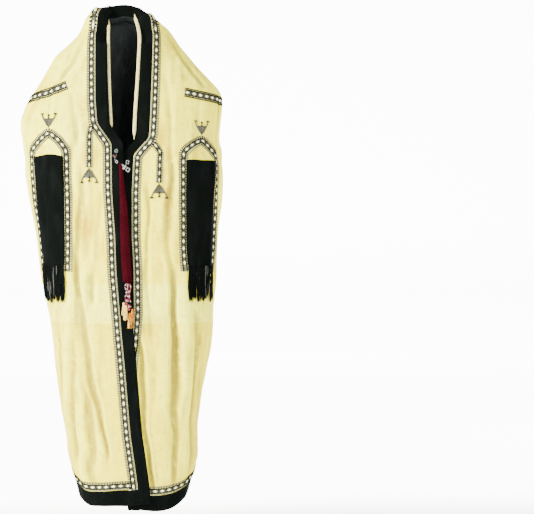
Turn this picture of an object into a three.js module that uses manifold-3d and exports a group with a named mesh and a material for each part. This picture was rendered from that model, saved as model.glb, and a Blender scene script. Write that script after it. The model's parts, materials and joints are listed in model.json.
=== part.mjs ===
// A white paranja: a Central Asian mantle worn over the head, with a black border round its opening and hem,
// braid along its edges, two fringed black breast panels, and false sleeves tied together down the back.
// Millimetres, +Z up, the front faces -Y. The origin is where the crown of the head holds the cloth.
//
// Every cloth piece lies on one surface, addressed by side (-1 for -X, +1 for +X), arc and level. Arc is the
// distance along the horizontal section from the middle of the front, and level is the section's height.
import * as THREE from "three";
import { mergeVertices } from "three/addons/utils/BufferGeometryUtils.js";
import Module from "manifold-3d";

const wasm = await Module();
wasm.setup();

// Driving dimensions.
const CLOTH = 2;            // wall of the cotton cloth
const BORDER_WIDTH = 33;    // black border beside the front edges and over the crown
const HEM_LEVEL = -1320;    // seam between the white cloth and the black hem
const HEM_DEPTH = 43;       // black hem below that seam
const BRAID_WIDTH = 21;
const BRAID_THICK = 1;
const CROWN_BRAID_OUT = 2.5; // the crown's braid stands this far off the cloth, which bends tightly there
const CROWN_BRAID_START = 0.7; // and starts this far below the seam
const SEAM = 0.3;           // gap between two pieces at a seam
const OVERLAP_STEP = 5;     // how far the -X front stands out, and the +X front sinks, where they overlap
const SLEEVE_LIFT = 8;      // gap between the false sleeves and the back
const PANEL_COLUMNS = 12;
const LINING_GAP = 13;

const column = (names) => (row) => Object.fromEntries(names.map((name, i) => [name, row[i]]));

// The horizontal sections, from the crown down: half-widths to -X and +X, and the depth of the front, the widest
// line and the back.
const SECTIONS = [
  [0, 88, 80, -13, -3, 7],
  [-4.5, 112, 101, -19, 4, 27],
  [-12, 119, 116, -27, 9, 45],
  [-24, 126, 128, -36, 12, 62],
  [-40, 136, 140, -50, 15, 80],
  [-62, 158, 155, -64, 17, 98],
  [-97, 195, 184, -78, 18, 116],
  [-130, 216, 212, -88, 18, 128],
  [-164, 235, 245, -97, 16, 137],
  [-197, 255, 271, -105, 14, 144],
  [-231, 275, 278, -114, 11, 149],
  [-265, 288, 276, -124, 8, 154],
  [-298, 292, 272, -132, 6, 157],
  [-332, 288, 269, -140, 4, 160],
  [-385, 279, 274, -151, 1, 163],
  [-433, 277, 279, -157, 0, 163],
  [-500, 265, 278, -160, -1, 162],
  [-600, 248, 265, -162, -2, 160],
  [-720, 236, 261, -160, -3, 157],
  [-802, 219, 253, -158, -4, 155],
  [-870, 206, 248, -156, -5, 153],
  [-1004, 190, 226, -152, -6, 148],
  [-1138, 172, 205, -148, -6, 144],
  [-1206, 164, 203, -146, -6, 142],
  [-1273, 156, 204, -144, -6, 140],
  [-1320, 143, 193, -142, -6, 138],
  [-1400, 124, 172, -140, -6, 134],
].map(column(["level", "left", "right", "front", "middle", "back"]));

// Where the seam between each front and its border runs, as distances from the middle line towards its own side.
const FRONT_EDGES = [
  [0, 68, 66],
  [-12, 77, 74],
  [-40, 83, 79],
  [-130, 83, 76],
  [-231, 82, 72],
  [-296, 77, 69],
  [-340, 47, 66],
  [-354, 37, 50],
  [-385, 37, 24],
  [-486, 36, 19],
  [-614, 27, 19],
  [-710, 24, 24],
  [-825, 14, 25],
  [-886, 9, 20],
  [-950, 3, 12],
  [-1007, -2, 8],
  [-1163, -15, 17],
  [-1306, -34, 36],
  [-1400, -42, 44],
].map(column(["level", "left", "right"]));

// Rows of the body panels' mesh.
const LEVELS = [
  0, -4.5, -12, -24, -40, -62, -97, -130, -164, -197, -231, -265, -296, -318, -340, -354, -385, -420, -466, -530,
  -600, -680, -760, -840, -920, -1000, -1080, -1160, -1240, HEM_LEVEL + BRAID_WIDTH, HEM_LEVEL,
];

// How far the hem rises, by the angle round from the middle of the front.
const HEM_RISE = [
  [-20, 10, -6],
  [0, 8, -7],
  [20, 3, -10],
  [40, 4, -2],
  [60, 20, 16],
  [90, 40, 44],
  [120, 18, 16],
  [150, 2, 4],
  [180, 0, 0],
].map(column(["angle", "left", "right"]));

// The largest folds: a soft ridge (height above 0) or trough from its upper to its lower end.
const FRONT_FOLDS = [
  [-132, -720, -74, -1290, 24, -8],
  [-96, -760, -40, -1290, 20, 4],
  [-160, -800, -112, -1290, 20, 4],
  [-122, -470, -126, -730, 22, -4],
  [148, -640, 141, -1260, 22, -9],
  [176, -760, 174, -1260, 18, 5],
  [108, -560, 98, -1290, 30, 4],
  [74, -880, 92, -1290, 22, -4],
].map(column(["topX", "topZ", "lowX", "lowZ", "width", "height"]));
const BACK_FOLDS = [
  [34, -90, -12, -900, 17, -9],
  [4, -130, -22, -900, 14, 6],
  [-26, -110, -24, -900, 15, -10],
  [-62, -120, -32, -900, 16, 5],
  [62, -110, 2, -900, 16, 4],
  [196, -500, 120, -1280, 28, -7],
  [-200, -470, -130, -1280, 28, -7],
  [162, -900, 138, -1290, 22, 5],
].map(column(["topX", "topZ", "lowX", "lowZ", "width", "height"]));
const SHOULDER_RIDGE = { level: -368, width: 26, height: 6, from: 196 };

// How far the crown seam rises: a low arch over the head, and a peak at each corner of the opening.
const CROWN_PEAKS = [
  [0, 42, 17, 55],
  [-80, 27, 40, 34],
  [69, 22, 24, 32],
].map(column(["x", "width", "height", "depth"]));

// ---------- the surface ----------

const clamp = (v, low, high) => Math.min(high, Math.max(low, v));
const smooth = (v) => clamp(v, 0, 1) ** 2 * (3 - 2 * clamp(v, 0, 1));
const bell = (v) => Math.exp(-v * v);

// A table's value between its rows: straight, or rounded through the rows.
function lookUp(table, key, name, at, rounded = false) {
  const falling = table[0][key] > table[1][key];
  let i = 0;
  while (i < table.length - 2 && (falling ? at < table[i + 1][key] : at > table[i + 1][key])) i += 1;
  const slope = (k) => (table[k + 1][name] - table[k][name]) / (table[k + 1][key] - table[k][key]);
  const span = table[i + 1][key] - table[i][key];
  const t = (at - table[i][key]) / span;
  if (!rounded || t < 0 || t > 1) return table[i][name] + t * span * slope(i);
  const start = i > 0 ? (slope(i - 1) + slope(i)) / 2 : slope(i);
  const end = i < table.length - 2 ? (slope(i) + slope(i + 1)) / 2 : slope(i);
  const h = t * t * (3 - 2 * t);
  return table[i][name] * (1 - h) + table[i + 1][name] * h + span * (t * (1 - t) ** 2 * start - t * t * (1 - t) * end);
}

const sideName = (side) => (side < 0 ? "left" : "right");
const halfWidth = (side, level) => lookUp(SECTIONS, "level", sideName(side), level, true);
const edgeX = (side, level) => lookUp(FRONT_EDGES, "level", sideName(side), level);

// One half of a section, from the middle of the front round its side to the middle of the back.
const HALF_STEPS = 96;
const halves = new Map();
function halfSection(side, level) {
  const name = side + ":" + level;
  if (halves.has(name)) return halves.get(name);
  const a = halfWidth(side, level);
  const get = (c) => lookUp(SECTIONS, "level", c, level, true);
  const mid = get("middle");
  const power = 2 / (2 + 0.8 * smooth((-level - 60) / 300)); // rounder over the head, squarer below
  const edge = clamp(Math.abs(edgeX(side, level)) / a, 0, 0.97);
  const frontDepth = (mid - get("front")) / Math.cos(Math.asin(edge ** (1 / power))) ** power;
  const points = [];
  for (let i = 0; i <= HALF_STEPS; i += 1) {
    const angle = (Math.PI * i) / HALF_STEPS;
    const x = side * a * Math.max(0, Math.sin(angle)) ** power;
    const reach = Math.abs(Math.cos(angle)) ** power;
    const y = angle < Math.PI / 2 ? mid - frontDepth * reach : mid + (get("back") - mid) * reach;
    const last = points[i - 1];
    points.push({ x, y, angle, arc: last ? last.arc + Math.hypot(x - last.x, y - last.y) : 0 });
  }
  halves.set(name, points);
  return points;
}
const halfLength = (side, level) => halfSection(side, level)[HALF_STEPS].arc;

// The arc of the point that lies at this distance from the middle line, on the front or on the back.
function arcOf(side, x, level, back = false) {
  if (x < 0) return back ? 2 * halfLength(side, level) - arcOfBeyond(side, x, level, true) : arcOfBeyond(side, x, level);
  const points = halfSection(side, level);
  const a = halfWidth(side, level);
  if (back && x > a) return arcOf(side, 2 * a - x, level);
  const half = HALF_STEPS / 2;
  for (let k = 0; k < half; k += 1) {
    const i = back ? HALF_STEPS - 1 - k : k;
    const [p, q] = back ? [points[i + 1], points[i]] : [points[i], points[i + 1]];
    if (Math.abs(q.x) >= x) return p.arc + ((x - Math.abs(p.x)) / (Math.abs(q.x) - Math.abs(p.x))) * (q.arc - p.arc);
  }
  return points[half].arc;
}
function arcOfBeyond(side, x, level, back = false) {
  const other = arcOf(-side, -x, level, back);
  return back ? halfLength(side, level) - (halfLength(-side, level) - other) : -other;
}

function foldHeight(folds, x, z) {
  let height = 0;
  for (const f of folds) {
    const t = (z - f.topZ) / (f.lowZ - f.topZ);
    const ends = smooth((t + 0.12) / 0.3) * smooth((1.15 - t) / 0.25);
    height += f.height * ends * bell((x - (f.topX + t * (f.lowX - f.topX))) / f.width);
  }
  return height;
}

// A point of the surface, moved out along the section by its folds.
function surface(side, arc, level, folded = true) {
  if (arc < 0) return withRise(-side, -arc, level, folded, side);
  return withRise(side, arc, level, folded, side);
}
function withRise(side, arc, level, folded, riseSide) {
  const length = halfLength(side, level);
  const [s, distance] = arc > length ? [-side, halfLength(-side, level) - (arc - length)] : [side, arc];
  const points = halfSection(s, level);
  let i = 1;
  while (i < HALF_STEPS && points[i].arc < distance) i += 1;
  const [p, q] = [points[i - 1], points[i]];
  const t = (distance - p.arc) / (q.arc - p.arc);
  const x = p.x + t * (q.x - p.x);
  const y = p.y + t * (q.y - p.y);
  const degrees = ((p.angle + t * (q.angle - p.angle)) * 180) / Math.PI;
  const crossed = riseSide !== side;
  const rise = lookUp(HEM_RISE, "angle", sideName(crossed ? riseSide : s), crossed ? -degrees : degrees, true);
  const low = smooth((-1080 - level) / 240);
  const peaks = CROWN_PEAKS.map((peak) =>
    peak.height * bell((x - peak.x) / peak.width) * smooth(1 + level / peak.depth));
  const z = level + rise * low + peaks.reduce((a, b) => a + b);
  const point = new THREE.Vector3(x, y, z);
  if (!folded) return point;
  const ridge = degrees > 90
    ? SHOULDER_RIDGE.height * bell((z - SHOULDER_RIDGE.level) / SHOULDER_RIDGE.width) *
      smooth((Math.abs(x) - SHOULDER_RIDGE.from) / 40)
    : 0;
  const height = foldHeight(degrees > 90 ? BACK_FOLDS : FRONT_FOLDS, x, z) + ridge;
  const outward = new THREE.Vector3((q.y - p.y) * -s, (q.x - p.x) * s, 0).normalize().multiplyScalar(-1);
  return point.addScaledVector(outward, height);
}

function normalAt(side, arc, level, folded = true) {
  const step = 1.5;
  const lower = level - step;
  const upper = Math.min(0, level + step);
  const along = surface(side, arc + step, level, folded).sub(surface(side, arc - step, level, folded));
  const up = surface(side, arc, upper, folded).sub(surface(side, arc, lower, folded));
  return along.cross(up).multiplyScalar(side).normalize();
}
function raised(side, arc, level, out, folded = true) {
  return surface(side, arc, level, folded).addScaledVector(normalAt(side, arc, level, folded), out);
}

// ---------- solids ----------

function meshSolid(positions, faces) {
  let volume = 0;
  const [a, b, c] = [new THREE.Vector3(), new THREE.Vector3(), new THREE.Vector3()];
  for (const [i, j, k] of faces) volume += a.copy(positions[i]).dot(b.copy(positions[j]).cross(c.copy(positions[k])));
  const turned = volume < 0 ? faces.map(([i, j, k]) => [i, k, j]) : faces;
  const geometry = new THREE.BufferGeometry().setFromPoints(positions);
  return geometry.setIndex(turned.flat());
}

// A closed wall between two grids of points, each an array of rows.
function wall(outer, inner) {
  const rows = outer.length;
  const columns = outer[0].length;
  const at = (layer, i, j) => layer * rows * columns + i * columns + j;
  const faces = [];
  const quad = (p, q, r, s) => faces.push([p, q, r], [p, r, s]);
  for (let i = 0; i < rows - 1; i += 1) {
    for (let j = 0; j < columns - 1; j += 1) {
      quad(at(0, i, j), at(0, i, j + 1), at(0, i + 1, j + 1), at(0, i + 1, j));
      quad(at(1, i, j), at(1, i + 1, j), at(1, i + 1, j + 1), at(1, i, j + 1));
    }
    quad(at(0, i, 0), at(0, i + 1, 0), at(1, i + 1, 0), at(1, i, 0));
    quad(at(0, i + 1, columns - 1), at(0, i, columns - 1), at(1, i, columns - 1), at(1, i + 1, columns - 1));
  }
  for (let j = 0; j < columns - 1; j += 1) {
    quad(at(0, 0, j + 1), at(0, 0, j), at(1, 0, j), at(1, 0, j + 1));
    quad(at(0, rows - 1, j), at(0, rows - 1, j + 1), at(1, rows - 1, j + 1), at(1, rows - 1, j));
  }
  return meshSolid([...outer.flat(), ...inner.flat()], faces);
}

// A wall from a grid of addresses: out is how far its outer face stands off the surface.
function wallOn(grid, out, thick, folded = true) {
  const skin = (distance) => grid.map((row) => row.map(([side, arc, level, extra = 0]) =>
    raised(side, arc, level, distance + extra, folded)));
  return wall(skin(out), skin(out - thick));
}

function toManifold(geometry) {
  const bare = geometry.index ? geometry.toNonIndexed() : geometry.clone();
  const merged = mergeVertices(
    new THREE.BufferGeometry().setAttribute("position", bare.getAttribute("position")), 1e-3);
  return new wasm.Manifold(new wasm.Mesh({
    numProp: 3,
    vertProperties: merged.attributes.position.array,
    triVerts: new Uint32Array(merged.index.array),
  }));
}
function fused(geometries) {
  const whole = geometries.map(toManifold).reduce((a, b) => a.add(b));
  const made = whole.getMesh();
  return new THREE.BufferGeometry()
    .setAttribute("position", new THREE.BufferAttribute(new Float32Array(made.vertProperties), 3))
    .setIndex(new THREE.BufferAttribute(new Uint32Array(made.triVerts), 1));
}

// ---------- the body panels ----------

// How far the +X front sinks and the -X front stands out beside their front edges, below the chest.
function overlap(side, fromEdge, level) {
  const below = smooth((-level - 300) / 70);
  return -side * OVERLAP_STEP * below * (1 - smooth(fromEdge / 130));
}

const edgeArc = (side, level) => arcOf(side, edgeX(side, level), level);
const seamArc = (side, level) => (Math.max(0, edgeArc(side, level)) + halfLength(side, level)) / 2;
const seamGap = (level) => SEAM + 1.2 * smooth(1 + level / 40); // wider where the crown bends tightly

function frontRow(side, level) {
  const edge = edgeArc(side, level);
  const length = seamArc(side, level) - seamGap(level) / 2 - edge;
  const braid = Math.min(BRAID_WIDTH, 0.35 * length);
  const row = [[side, edge, level, overlap(side, 0, level)]];
  for (let j = 0; j < PANEL_COLUMNS; j += 1) {
    const distance = braid + ((length - braid) * j) / (PANEL_COLUMNS - 1);
    row.push([side, edge + distance, level, overlap(side, distance, level)]);
  }
  return row;
}

// The vent in the middle of the back opens below this level.
const VENT = { level: -1110, gap: 17, x: -8 };
const ventGap = (level) => VENT.gap * smooth((VENT.level - level) / 190);
function backRow(side, level, columns = PANEL_COLUMNS) {
  const start = seamArc(side, level) + seamGap(level) / 2;
  const shift = side * VENT.x * smooth((-level - 500) / 500);
  const end = halfLength(side, level) - SEAM / 2 - ventGap(level) - shift;
  return Array.from({ length: columns + 1 }, (_, j) => [side, start + ((end - start) * j) / columns, level]);
}

const frontGrids = {};
const backGrids = {};
for (const side of [-1, 1]) {
  frontGrids[side] = LEVELS.map((level) => frontRow(side, level));
  backGrids[side] = LEVELS.map((level) => backRow(side, level));
}

// ---------- borders ----------

// The black border beside a front: three columns from the seam to its free edge, down to the bottom of the hem.
// Beside the face it lies inward. Over the head its free edge is a low arch, CROWN_TOP high in the middle.
const CROWN_TOP = { height: 48, leftFall: 2, rightFall: 13, reach: 78, from: -3.5 };
const inwardFrom = (side) => new THREE.Vector3(-0.9 * side, 0.2, -0.25).normalize();
function crownDirection(point) {
  const fall = point.x < 0 ? CROWN_TOP.leftFall : CROWN_TOP.rightFall;
  const top = CROWN_TOP.height - fall * (point.x / CROWN_TOP.reach) ** 2;
  const up = clamp((top - point.z) / BORDER_WIDTH, 0.18, 0.94);
  const share = smooth(up / 0.94);
  const level = new THREE.Vector3(-Math.sign(point.x) * (1 - share), 0.2 * (1 - share) - share, 0).normalize();
  return level.multiplyScalar(Math.sqrt(1 - up * up)).setZ(up);
}
const CORNER_LEVEL = -61;
const CORNER_GAP = 2.2; // wider seam where the border turns sharply inward
function turnedUp(inward, turn) {
  const forward = new THREE.Vector3(0, -0.8 * turn * (1 - turn), 0);
  return inward.clone().multiplyScalar(1 - turn).addScaledVector(CROWN_UP, turn).add(forward).normalize();
}

function borderWall(points, directions, tangents, gapAt) {
  const outer = points.map((p, i) => [gapAt(i) / BORDER_WIDTH, 0.5, 1].map((share) => {
    const d = directions[i];
    return typeof d === "function" ? d(share) : p.clone().addScaledVector(d, share * BORDER_WIDTH);
  }));
  const inner = outer.map((row, i) => {
    const across = row[2].clone().sub(row[0]).normalize();
    const back = tangents[i].clone().cross(across).normalize();
    return row.map((p) => p.clone().addScaledVector(back, CLOTH));
  });
  return wall(outer, inner);
}

const BORDER_LEVELS = [...LEVELS, HEM_LEVEL - 20, HEM_LEVEL - HEM_DEPTH];
function sideBorder(side) {
  const points = BORDER_LEVELS.map((level) => raised(side, edgeArc(side, level), level, overlap(side, 0, level)));
  const tangents = points.map((p, i) => {
    const above = points[Math.max(0, i - 1)];
    const below = points[Math.min(points.length - 1, i + 1)];
    return above.clone().sub(below).multiplyScalar(-side).normalize();
  });
  const directions = points.map((p, i) => {
    const level = BORDER_LEVELS[i];
    if (level > CORNER_LEVEL) return inwardFrom(side);
    return (share) => raised(side, edgeArc(side, level) - share * BORDER_WIDTH, level, overlap(side, 0, level));
  });
  return borderWall(points, directions, tangents, (i) => SEAM + CORNER_GAP * smooth(1 + BORDER_LEVELS[i] / 95));
}

// The crown's seam: the top row of the four panels, from the -X corner to the +X corner.
function crownAddresses(row) {
  const left = [...frontGrids[-1][row], ...backGrids[-1][row].slice(1)];
  const right = [...frontGrids[1][row], ...backGrids[1][row].slice(1)];
  return [...left, ...right.reverse().slice(1)];
}
function crownBorder() {
  const every = crownAddresses(0).map(([side, arc, level]) => raised(side, arc, level, 0));
  const kept = every.filter((p, i) => i % 3 === 1 && p.y > CROWN_TOP.from);
  const tangents = kept.map((p, i) => {
    const next = kept[Math.min(kept.length - 1, i + 1)];
    return next.clone().sub(kept[Math.max(0, i - 1)]).normalize();
  });
  const directions = kept.map(crownDirection);
  return borderWall(kept, directions, tangents, (i) =>
    SEAM * [20, 13, 6][Math.min(2, i, kept.length - 1 - i)]);
}

// The black hem under one panel, from that panel's lowest row.
const HEM_STEPS = [SEAM, 21, HEM_DEPTH];
function hemGrid(grid, isFront, side) {
  return HEM_STEPS.map((drop) => {
    const level = HEM_LEVEL - drop;
    const row = isFront ? frontRow(side, level) : backRow(side, level);
    return row.map(([s, arc, l, extra], j) => [s, arc, l + 3 * Math.sin(1.7 * j + side) * (drop / HEM_DEPTH), extra]);
  });
}

// ---------- strips laid on the surface ----------

// A strip of even width along a path of [distance from the middle line, level] points, on the front or the back.
function stripOn(side, path, width, out, thick, { back = false, folded = true, step = 26 } = {}) {
  const stepAt = (arc, level) => (back ? 0 : overlap(side, arc - edgeArc(side, level), level));
  const flat = path.map(([x, level]) => new THREE.Vector2(arcOf(side, x, level, back), level));
  const dense = [flat[0]];
  for (let i = 1; i < flat.length; i += 1) {
    const pieces = Math.max(1, Math.round(flat[i].distanceTo(flat[i - 1]) / step));
    for (let k = 1; k <= pieces; k += 1) dense.push(flat[i - 1].clone().lerp(flat[i], k / pieces));
  }
  const grid = dense.map((p, i) => {
    const before = p.clone().sub(dense[Math.max(0, i - 1)]);
    const after = dense[Math.min(dense.length - 1, i + 1)].clone().sub(p);
    const directions = [before, after].filter((v) => v.length() > 0).map((v) => v.normalize());
    const mean = directions.reduce((a, b) => a.clone().add(b)).normalize();
    const miter = width / 2 / Math.max(0.5, mean.dot(directions[0]));
    const across = new THREE.Vector2(-mean.y, mean.x).multiplyScalar(miter);
    return [-1, 0, 1].map((k) => {
      const [arc, level] = [p.x + k * across.x, p.y + k * across.y];
      return [side, arc, level, stepAt(arc, level)];
    });
  });
  return wallOn(grid, out + thick, thick, folded);
}

const POCKETS = {
  left: { side: -1, top: -317, apex: 210, shoulder: -376, panelTop: -392, bottom: -704 },
  right: { side: 1, top: -329, apex: 213, shoulder: -381, panelTop: -399, bottom: -706 },
};
const POCKET_BRAID = 17;
const POCKET_EDGES = [
  [-395, 163, 257, 164, 256],
  [-505, 160, 249, 161, 252],
  [-634, 158, 232, 160, 247],
  [-706, 158, 224, 160, 239],
].map(column(["level", "leftInner", "leftOuter", "rightInner", "rightOuter"]));
const PANEL_OUT = 1.2;      // breast panels and outlines stand this far off the fronts
const PANEL_MARGIN = 4;
const PANEL_BOTTOM = -690;
const FRINGE_LENGTH = 88;
const FRINGE_STRANDS = 22;

function pocketEdge(pocket, edge, level) {
  return lookUp(POCKET_EDGES, "level", sideName(pocket.side) + edge, Math.min(level, -395));
}
function pocketOutline(pocket) {
  const levels = [pocket.bottom, -634, -505, pocket.shoulder];
  const outer = levels.map((level) => [pocketEdge(pocket, "Outer", level), level]);
  const inner = levels.map((level) => [pocketEdge(pocket, "Inner", level), level]);
  return [...outer, [pocket.apex, pocket.top], ...inner.reverse()];
}
function panelCorner(pocket, share, level) {
  const { side } = pocket;
  const inset = POCKET_BRAID / 2 + PANEL_MARGIN;
  const start = arcOf(side, pocketEdge(pocket, "Inner", level), level) + inset;
  const end = arcOf(side, pocketEdge(pocket, "Outer", level), level) - inset;
  return [side, start + share * (end - start), level];
}
function breastPanel(pocket) {
  const rows = 10;
  const drop = PANEL_BOTTOM - pocket.panelTop;
  const grid = Array.from({ length: rows }, (_, i) => [0, 0.25, 0.5, 0.75, 1].map((share) =>
    panelCorner(pocket, share, pocket.panelTop + (drop * i) / (rows - 1))));
  return wallOn(grid, PANEL_OUT + CLOTH + 0.4, CLOTH);
}

// A fringe: a narrow heading with strands fused into it, hanging just in front of the cloth.
function fringe(pocket) {
  const bottom = PANEL_BOTTOM;
  const headings = [bottom - SEAM, bottom - 7];
  const heading = wallOn(headings.map((level) =>
    [0, 0.2, 0.4, 0.6, 0.8, 1].map((share) => panelCorner(pocket, share, level))), PANEL_OUT + 3.2, 2.4);
  const strands = Array.from({ length: FRINGE_STRANDS }, (_, k) => {
    const share = (k + 0.5) / FRINGE_STRANDS;
    const sway = Math.sin(2.3 * k) * 0.5 / FRINGE_STRANDS;
    const length = FRINGE_LENGTH * (1 + 0.06 * Math.sin(5.1 * k));
    const rings = [0.02, 1].map((t) => {
      const level = bottom - 3 - t * length;
      const [side, arc] = panelCorner(pocket, share + sway * t, bottom);
      const half = 1.15 - 0.25 * t;
      return [[-half, 0], [half, 0], [0, 1.9]].map(([along, out]) =>
        raised(side, arc + along, level, PANEL_OUT + 1 + out));
    });
    return ringTube(rings);
  });
  return fused([heading, ...strands]);
}

// A closed tube through rings of points.
function ringTube(rings) {
  const count = rings[0].length;
  const faces = [];
  for (let i = 0; i < rings.length - 1; i += 1) {
    for (let j = 0; j < count; j += 1) {
      const [a, b] = [i * count + j, i * count + ((j + 1) % count)];
      faces.push([a, b, b + count], [a, b + count, a + count]);
    }
  }
  const last = (rings.length - 1) * count;
  for (let j = 1; j < count - 1; j += 1) faces.push([0, j + 1, j], [last, last + j, last + j + 1]);
  return meshSolid(rings.flat(), faces);
}

// ---------- false sleeves ----------

// Inner and outer edges on the back, as distances from the middle line.
const SLEEVE_EDGES = [
  [-26, 74, 106, 72, 108],
  [-40, 78, 115, 78, 119],
  [-62, 82, 132, 84, 138],
  [-97, 84, 158, 88, 172],
  [-130, 83, 186, 88, 195],
  [-164, 81, 218, 88, 217],
  [-197, 78, 246, 86, 238],
  [-231, 74, 260, 84, 261],
  [-248, 72, 261, 82, 265],
  [-265, 68, 257, 81, 260],
  [-300, 58, 238, 79, 238],
  [-343, 47, 195, 77, 200],
  [-400, 38, 172, 75, 172],
  [-456, 30, 162, 70, 164],
  [-528, 20, 150, 60, 154],
  [-600, 12, 137, 54, 146],
  [-679, 6, 122, 47, 136],
  [-751, 0, 107, 40, 122],
  [-820, -7, 92, 33, 112],
  [-887, -15, 76, 24, 102],
  [-921, -17, 69, 19, 98],
  [-970, -18, 59, 19, 93],
  [-1014, -18, 50, 19.5, 90],
  [-1092, -18, 45, 21, 86],
  [-1170, -18, 44, 24, 85],
  [-1236, -18, 44, 27, 85],
].map(column(["level", "rightInner", "rightOuter", "leftInner", "leftOuter"]));
const SLEEVE_SHARES = [0, 0.2, 0.42, 0.62, 0.76, 0.88, 1];
const SLEEVE_END = { bottom: -1290, notch: 16 };
const SLEEVE_SEWN = 5.5;

function sleeveAddress(side, level, share) {
  const get = (edge) => lookUp(SLEEVE_EDGES, "level", sideName(side) + edge, level);
  const inner = arcOf(side, get("Inner"), level, true);
  const outer = arcOf(side, get("Outer"), level, true);
  const hang = 5 * smooth((-level - 330) / 200) * (0.35 + 0.65 * share);
  const sewn = smooth((share - 0.5) / 0.5) * smooth((level + 330) / 80); // the head is sewn down along its outer edge
  return [side, inner + (outer - inner) * share, level, SLEEVE_LIFT + hang - SLEEVE_SEWN * sewn];
}
function falseSleeve(side) {
  const grid = SLEEVE_EDGES.map(({ level }) => SLEEVE_SHARES.map((share) => sleeveAddress(side, level, share)));
  return wallOn(grid, CLOTH, CLOTH, false);
}

// The black end of a sleeve, notched in the middle of its upper edge.
function sleeveEnd(side) {
  const top = SLEEVE_EDGES[SLEEVE_EDGES.length - 1].level - SEAM;
  const drops = [0, 0, 1, 1, 0, 0];
  const shares = [0, 0.4, 0.44, 0.56, 0.6, 1];
  const grid = shares.map((share, k) => [0, 0.5, 1].map((t) => {
    const start = top - 2 - drops[k] * SLEEVE_END.notch;
    return sleeveAddress(side, start + t * (SLEEVE_END.bottom - start), share);
  }));
  return wallOn(grid, CLOTH, CLOTH, false);
}

// Braid round the armhole: one strip on the front panel and one on the sleeve behind.
const SHOULDER_FRONT = { left: [[160, -192], [215, -209], [252, -222]], right: [[165, -197], [215, -212], [252, -226]] };
const SHOULDER_BACK = [[262, -243], [256, -268], [236, -296], [206, -330], [186, -352]];

// ---------- inside the opening ----------

const RIBBONS = {
  left: [[-46, -14], [-46, -60], [-44, -130], [-42, -220], [-38, -300]],
  right: [[27, -8], [39, -32], [40, -84], [34, -174], [25, -342]],
};
const RIBBON_WIDTH = 9;
const RIBBON_BEHIND = 7;
function innerRibbon(path) {
  const middle = (x, z) => surface(x < 0 ? -1 : 1, arcOf(x < 0 ? -1 : 1, Math.abs(x), z), z, false);
  const layer = (depth) => path.map(([x, z], i) => {
    const half = (RIBBON_WIDTH / 2) * (i === 0 || i === path.length - 1 ? 0.35 : 1);
    const p = middle(x, z);
    return [-half, half].map((k) => new THREE.Vector3(x + k, p.y + RIBBON_BEHIND + depth, z));
  });
  return wall(layer(0), layer(1));
}

const LINING_LEVELS = [-12, -40, -97, -164, -231, -300, -385, -466, -600, -735, -870, -1004, -1138, -1236, -1312];
function lining(side) {
  const grid = LINING_LEVELS.map((level) => backRow(side, level, 6).map(([s, arc, l]) => [s, arc, l]));
  return wallOn(grid, -LINING_GAP - CLOTH, 1.4, false);
}

// ---------- ties, beads and tassels ----------

function beadChain(centres, radius) {
  return fused(centres.map(([x, y, z]) => new THREE.IcosahedronGeometry(radius, 0).translate(x, y, z)));
}

// A tassel: a bound head with strands that hang straight down from it.
function tassel(top, headRadius, length, strands, spread) {
  const profile = [[0, 0], [headRadius * 0.6, -1], [headRadius, -headRadius], [headRadius * 0.7, -headRadius * 2], [0, -headRadius * 2.1]];
  const head = new THREE.LatheGeometry(profile.reverse().map(([r, h]) => new THREE.Vector2(r, h)), 8);
  head.rotateX(Math.PI / 2);
  const parts = [head];
  for (let k = 0; k < strands; k += 1) {
    const angle = (2 * Math.PI * k) / strands;
    const rings = [[0.55, -headRadius * 1.4], [0.85, -length * 0.6], [spread, -length]].map(([reach, z]) => {
      const centre = new THREE.Vector3(Math.cos(angle), Math.sin(angle), 0).multiplyScalar(reach * headRadius);
      return [0, 1, 2].map((n) => {
        const turn = angle + (2 * Math.PI * n) / 3;
        return new THREE.Vector3(centre.x + 0.9 * Math.cos(turn), centre.y + 0.9 * Math.sin(turn), z);
      });
    });
    parts.push(ringTube(rings));
  }
  return fused(parts).translate(...top);
}

// Where the ribbon hangs in front of the borders: the most forward cloth there, and a little more.
const frontY = (x, level) => surface(x < 0 ? -1 : 1, arcOf(x < 0 ? -1 : 1, Math.abs(x), level), level).y;
const TIE = { top: [-12, -412], bottom: [6, -738], topWidth: 12, bottomWidth: 26, forward: 13 };
function tieRibbon() {
  const rows = 9;
  const layer = (depth) => Array.from({ length: rows }, (_, i) => {
    const t = i / (rows - 1);
    const x = TIE.top[0] + (TIE.bottom[0] - TIE.top[0]) * t ** 0.8;
    const z = TIE.top[1] + (TIE.bottom[1] - TIE.top[1]) * t;
    const half = (TIE.topWidth + (TIE.bottomWidth - TIE.topWidth) * t) / 2;
    return [-half, 0, half].map((k) => new THREE.Vector3(x + k, frontY(x, z) - TIE.forward - depth + 0.02 * k * k, z));
  });
  return wall(layer(1.2), layer(0));
}

const CLASP_BEADS = {
  left: [[-25, -374], [-28, -381], [-29, -389], [-26, -396], [-22, -402]],
  right: [[2, -404], [6, -410], [2, -416], [7, -421], [4, -427]],
};
const BEAD_RADIUS = 5.2;
const BEAD_PITCH = 7.6;
const DROP_LEFT = { x: -1, top: -747, count: 8 };
const DROP_RIGHT = { x: 15, top: -747, count: 10 };
function beadDrop(drop) {
  return beadChain(Array.from({ length: drop.count }, (_, k) => {
    const z = drop.top - k * BEAD_PITCH;
    return [drop.x + 1.5 * Math.sin(2 * k), frontY(drop.x, z) - TIE.forward - 4, z];
  }), BEAD_RADIUS);
}
function chestTassel(drop, length) {
  const z = drop.top - (drop.count - 1) * BEAD_PITCH - BEAD_RADIUS - 1.2;
  return tassel([drop.x, frontY(drop.x, z) - TIE.forward - 7, z], 7, length, 10, 1.25);
}

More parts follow.
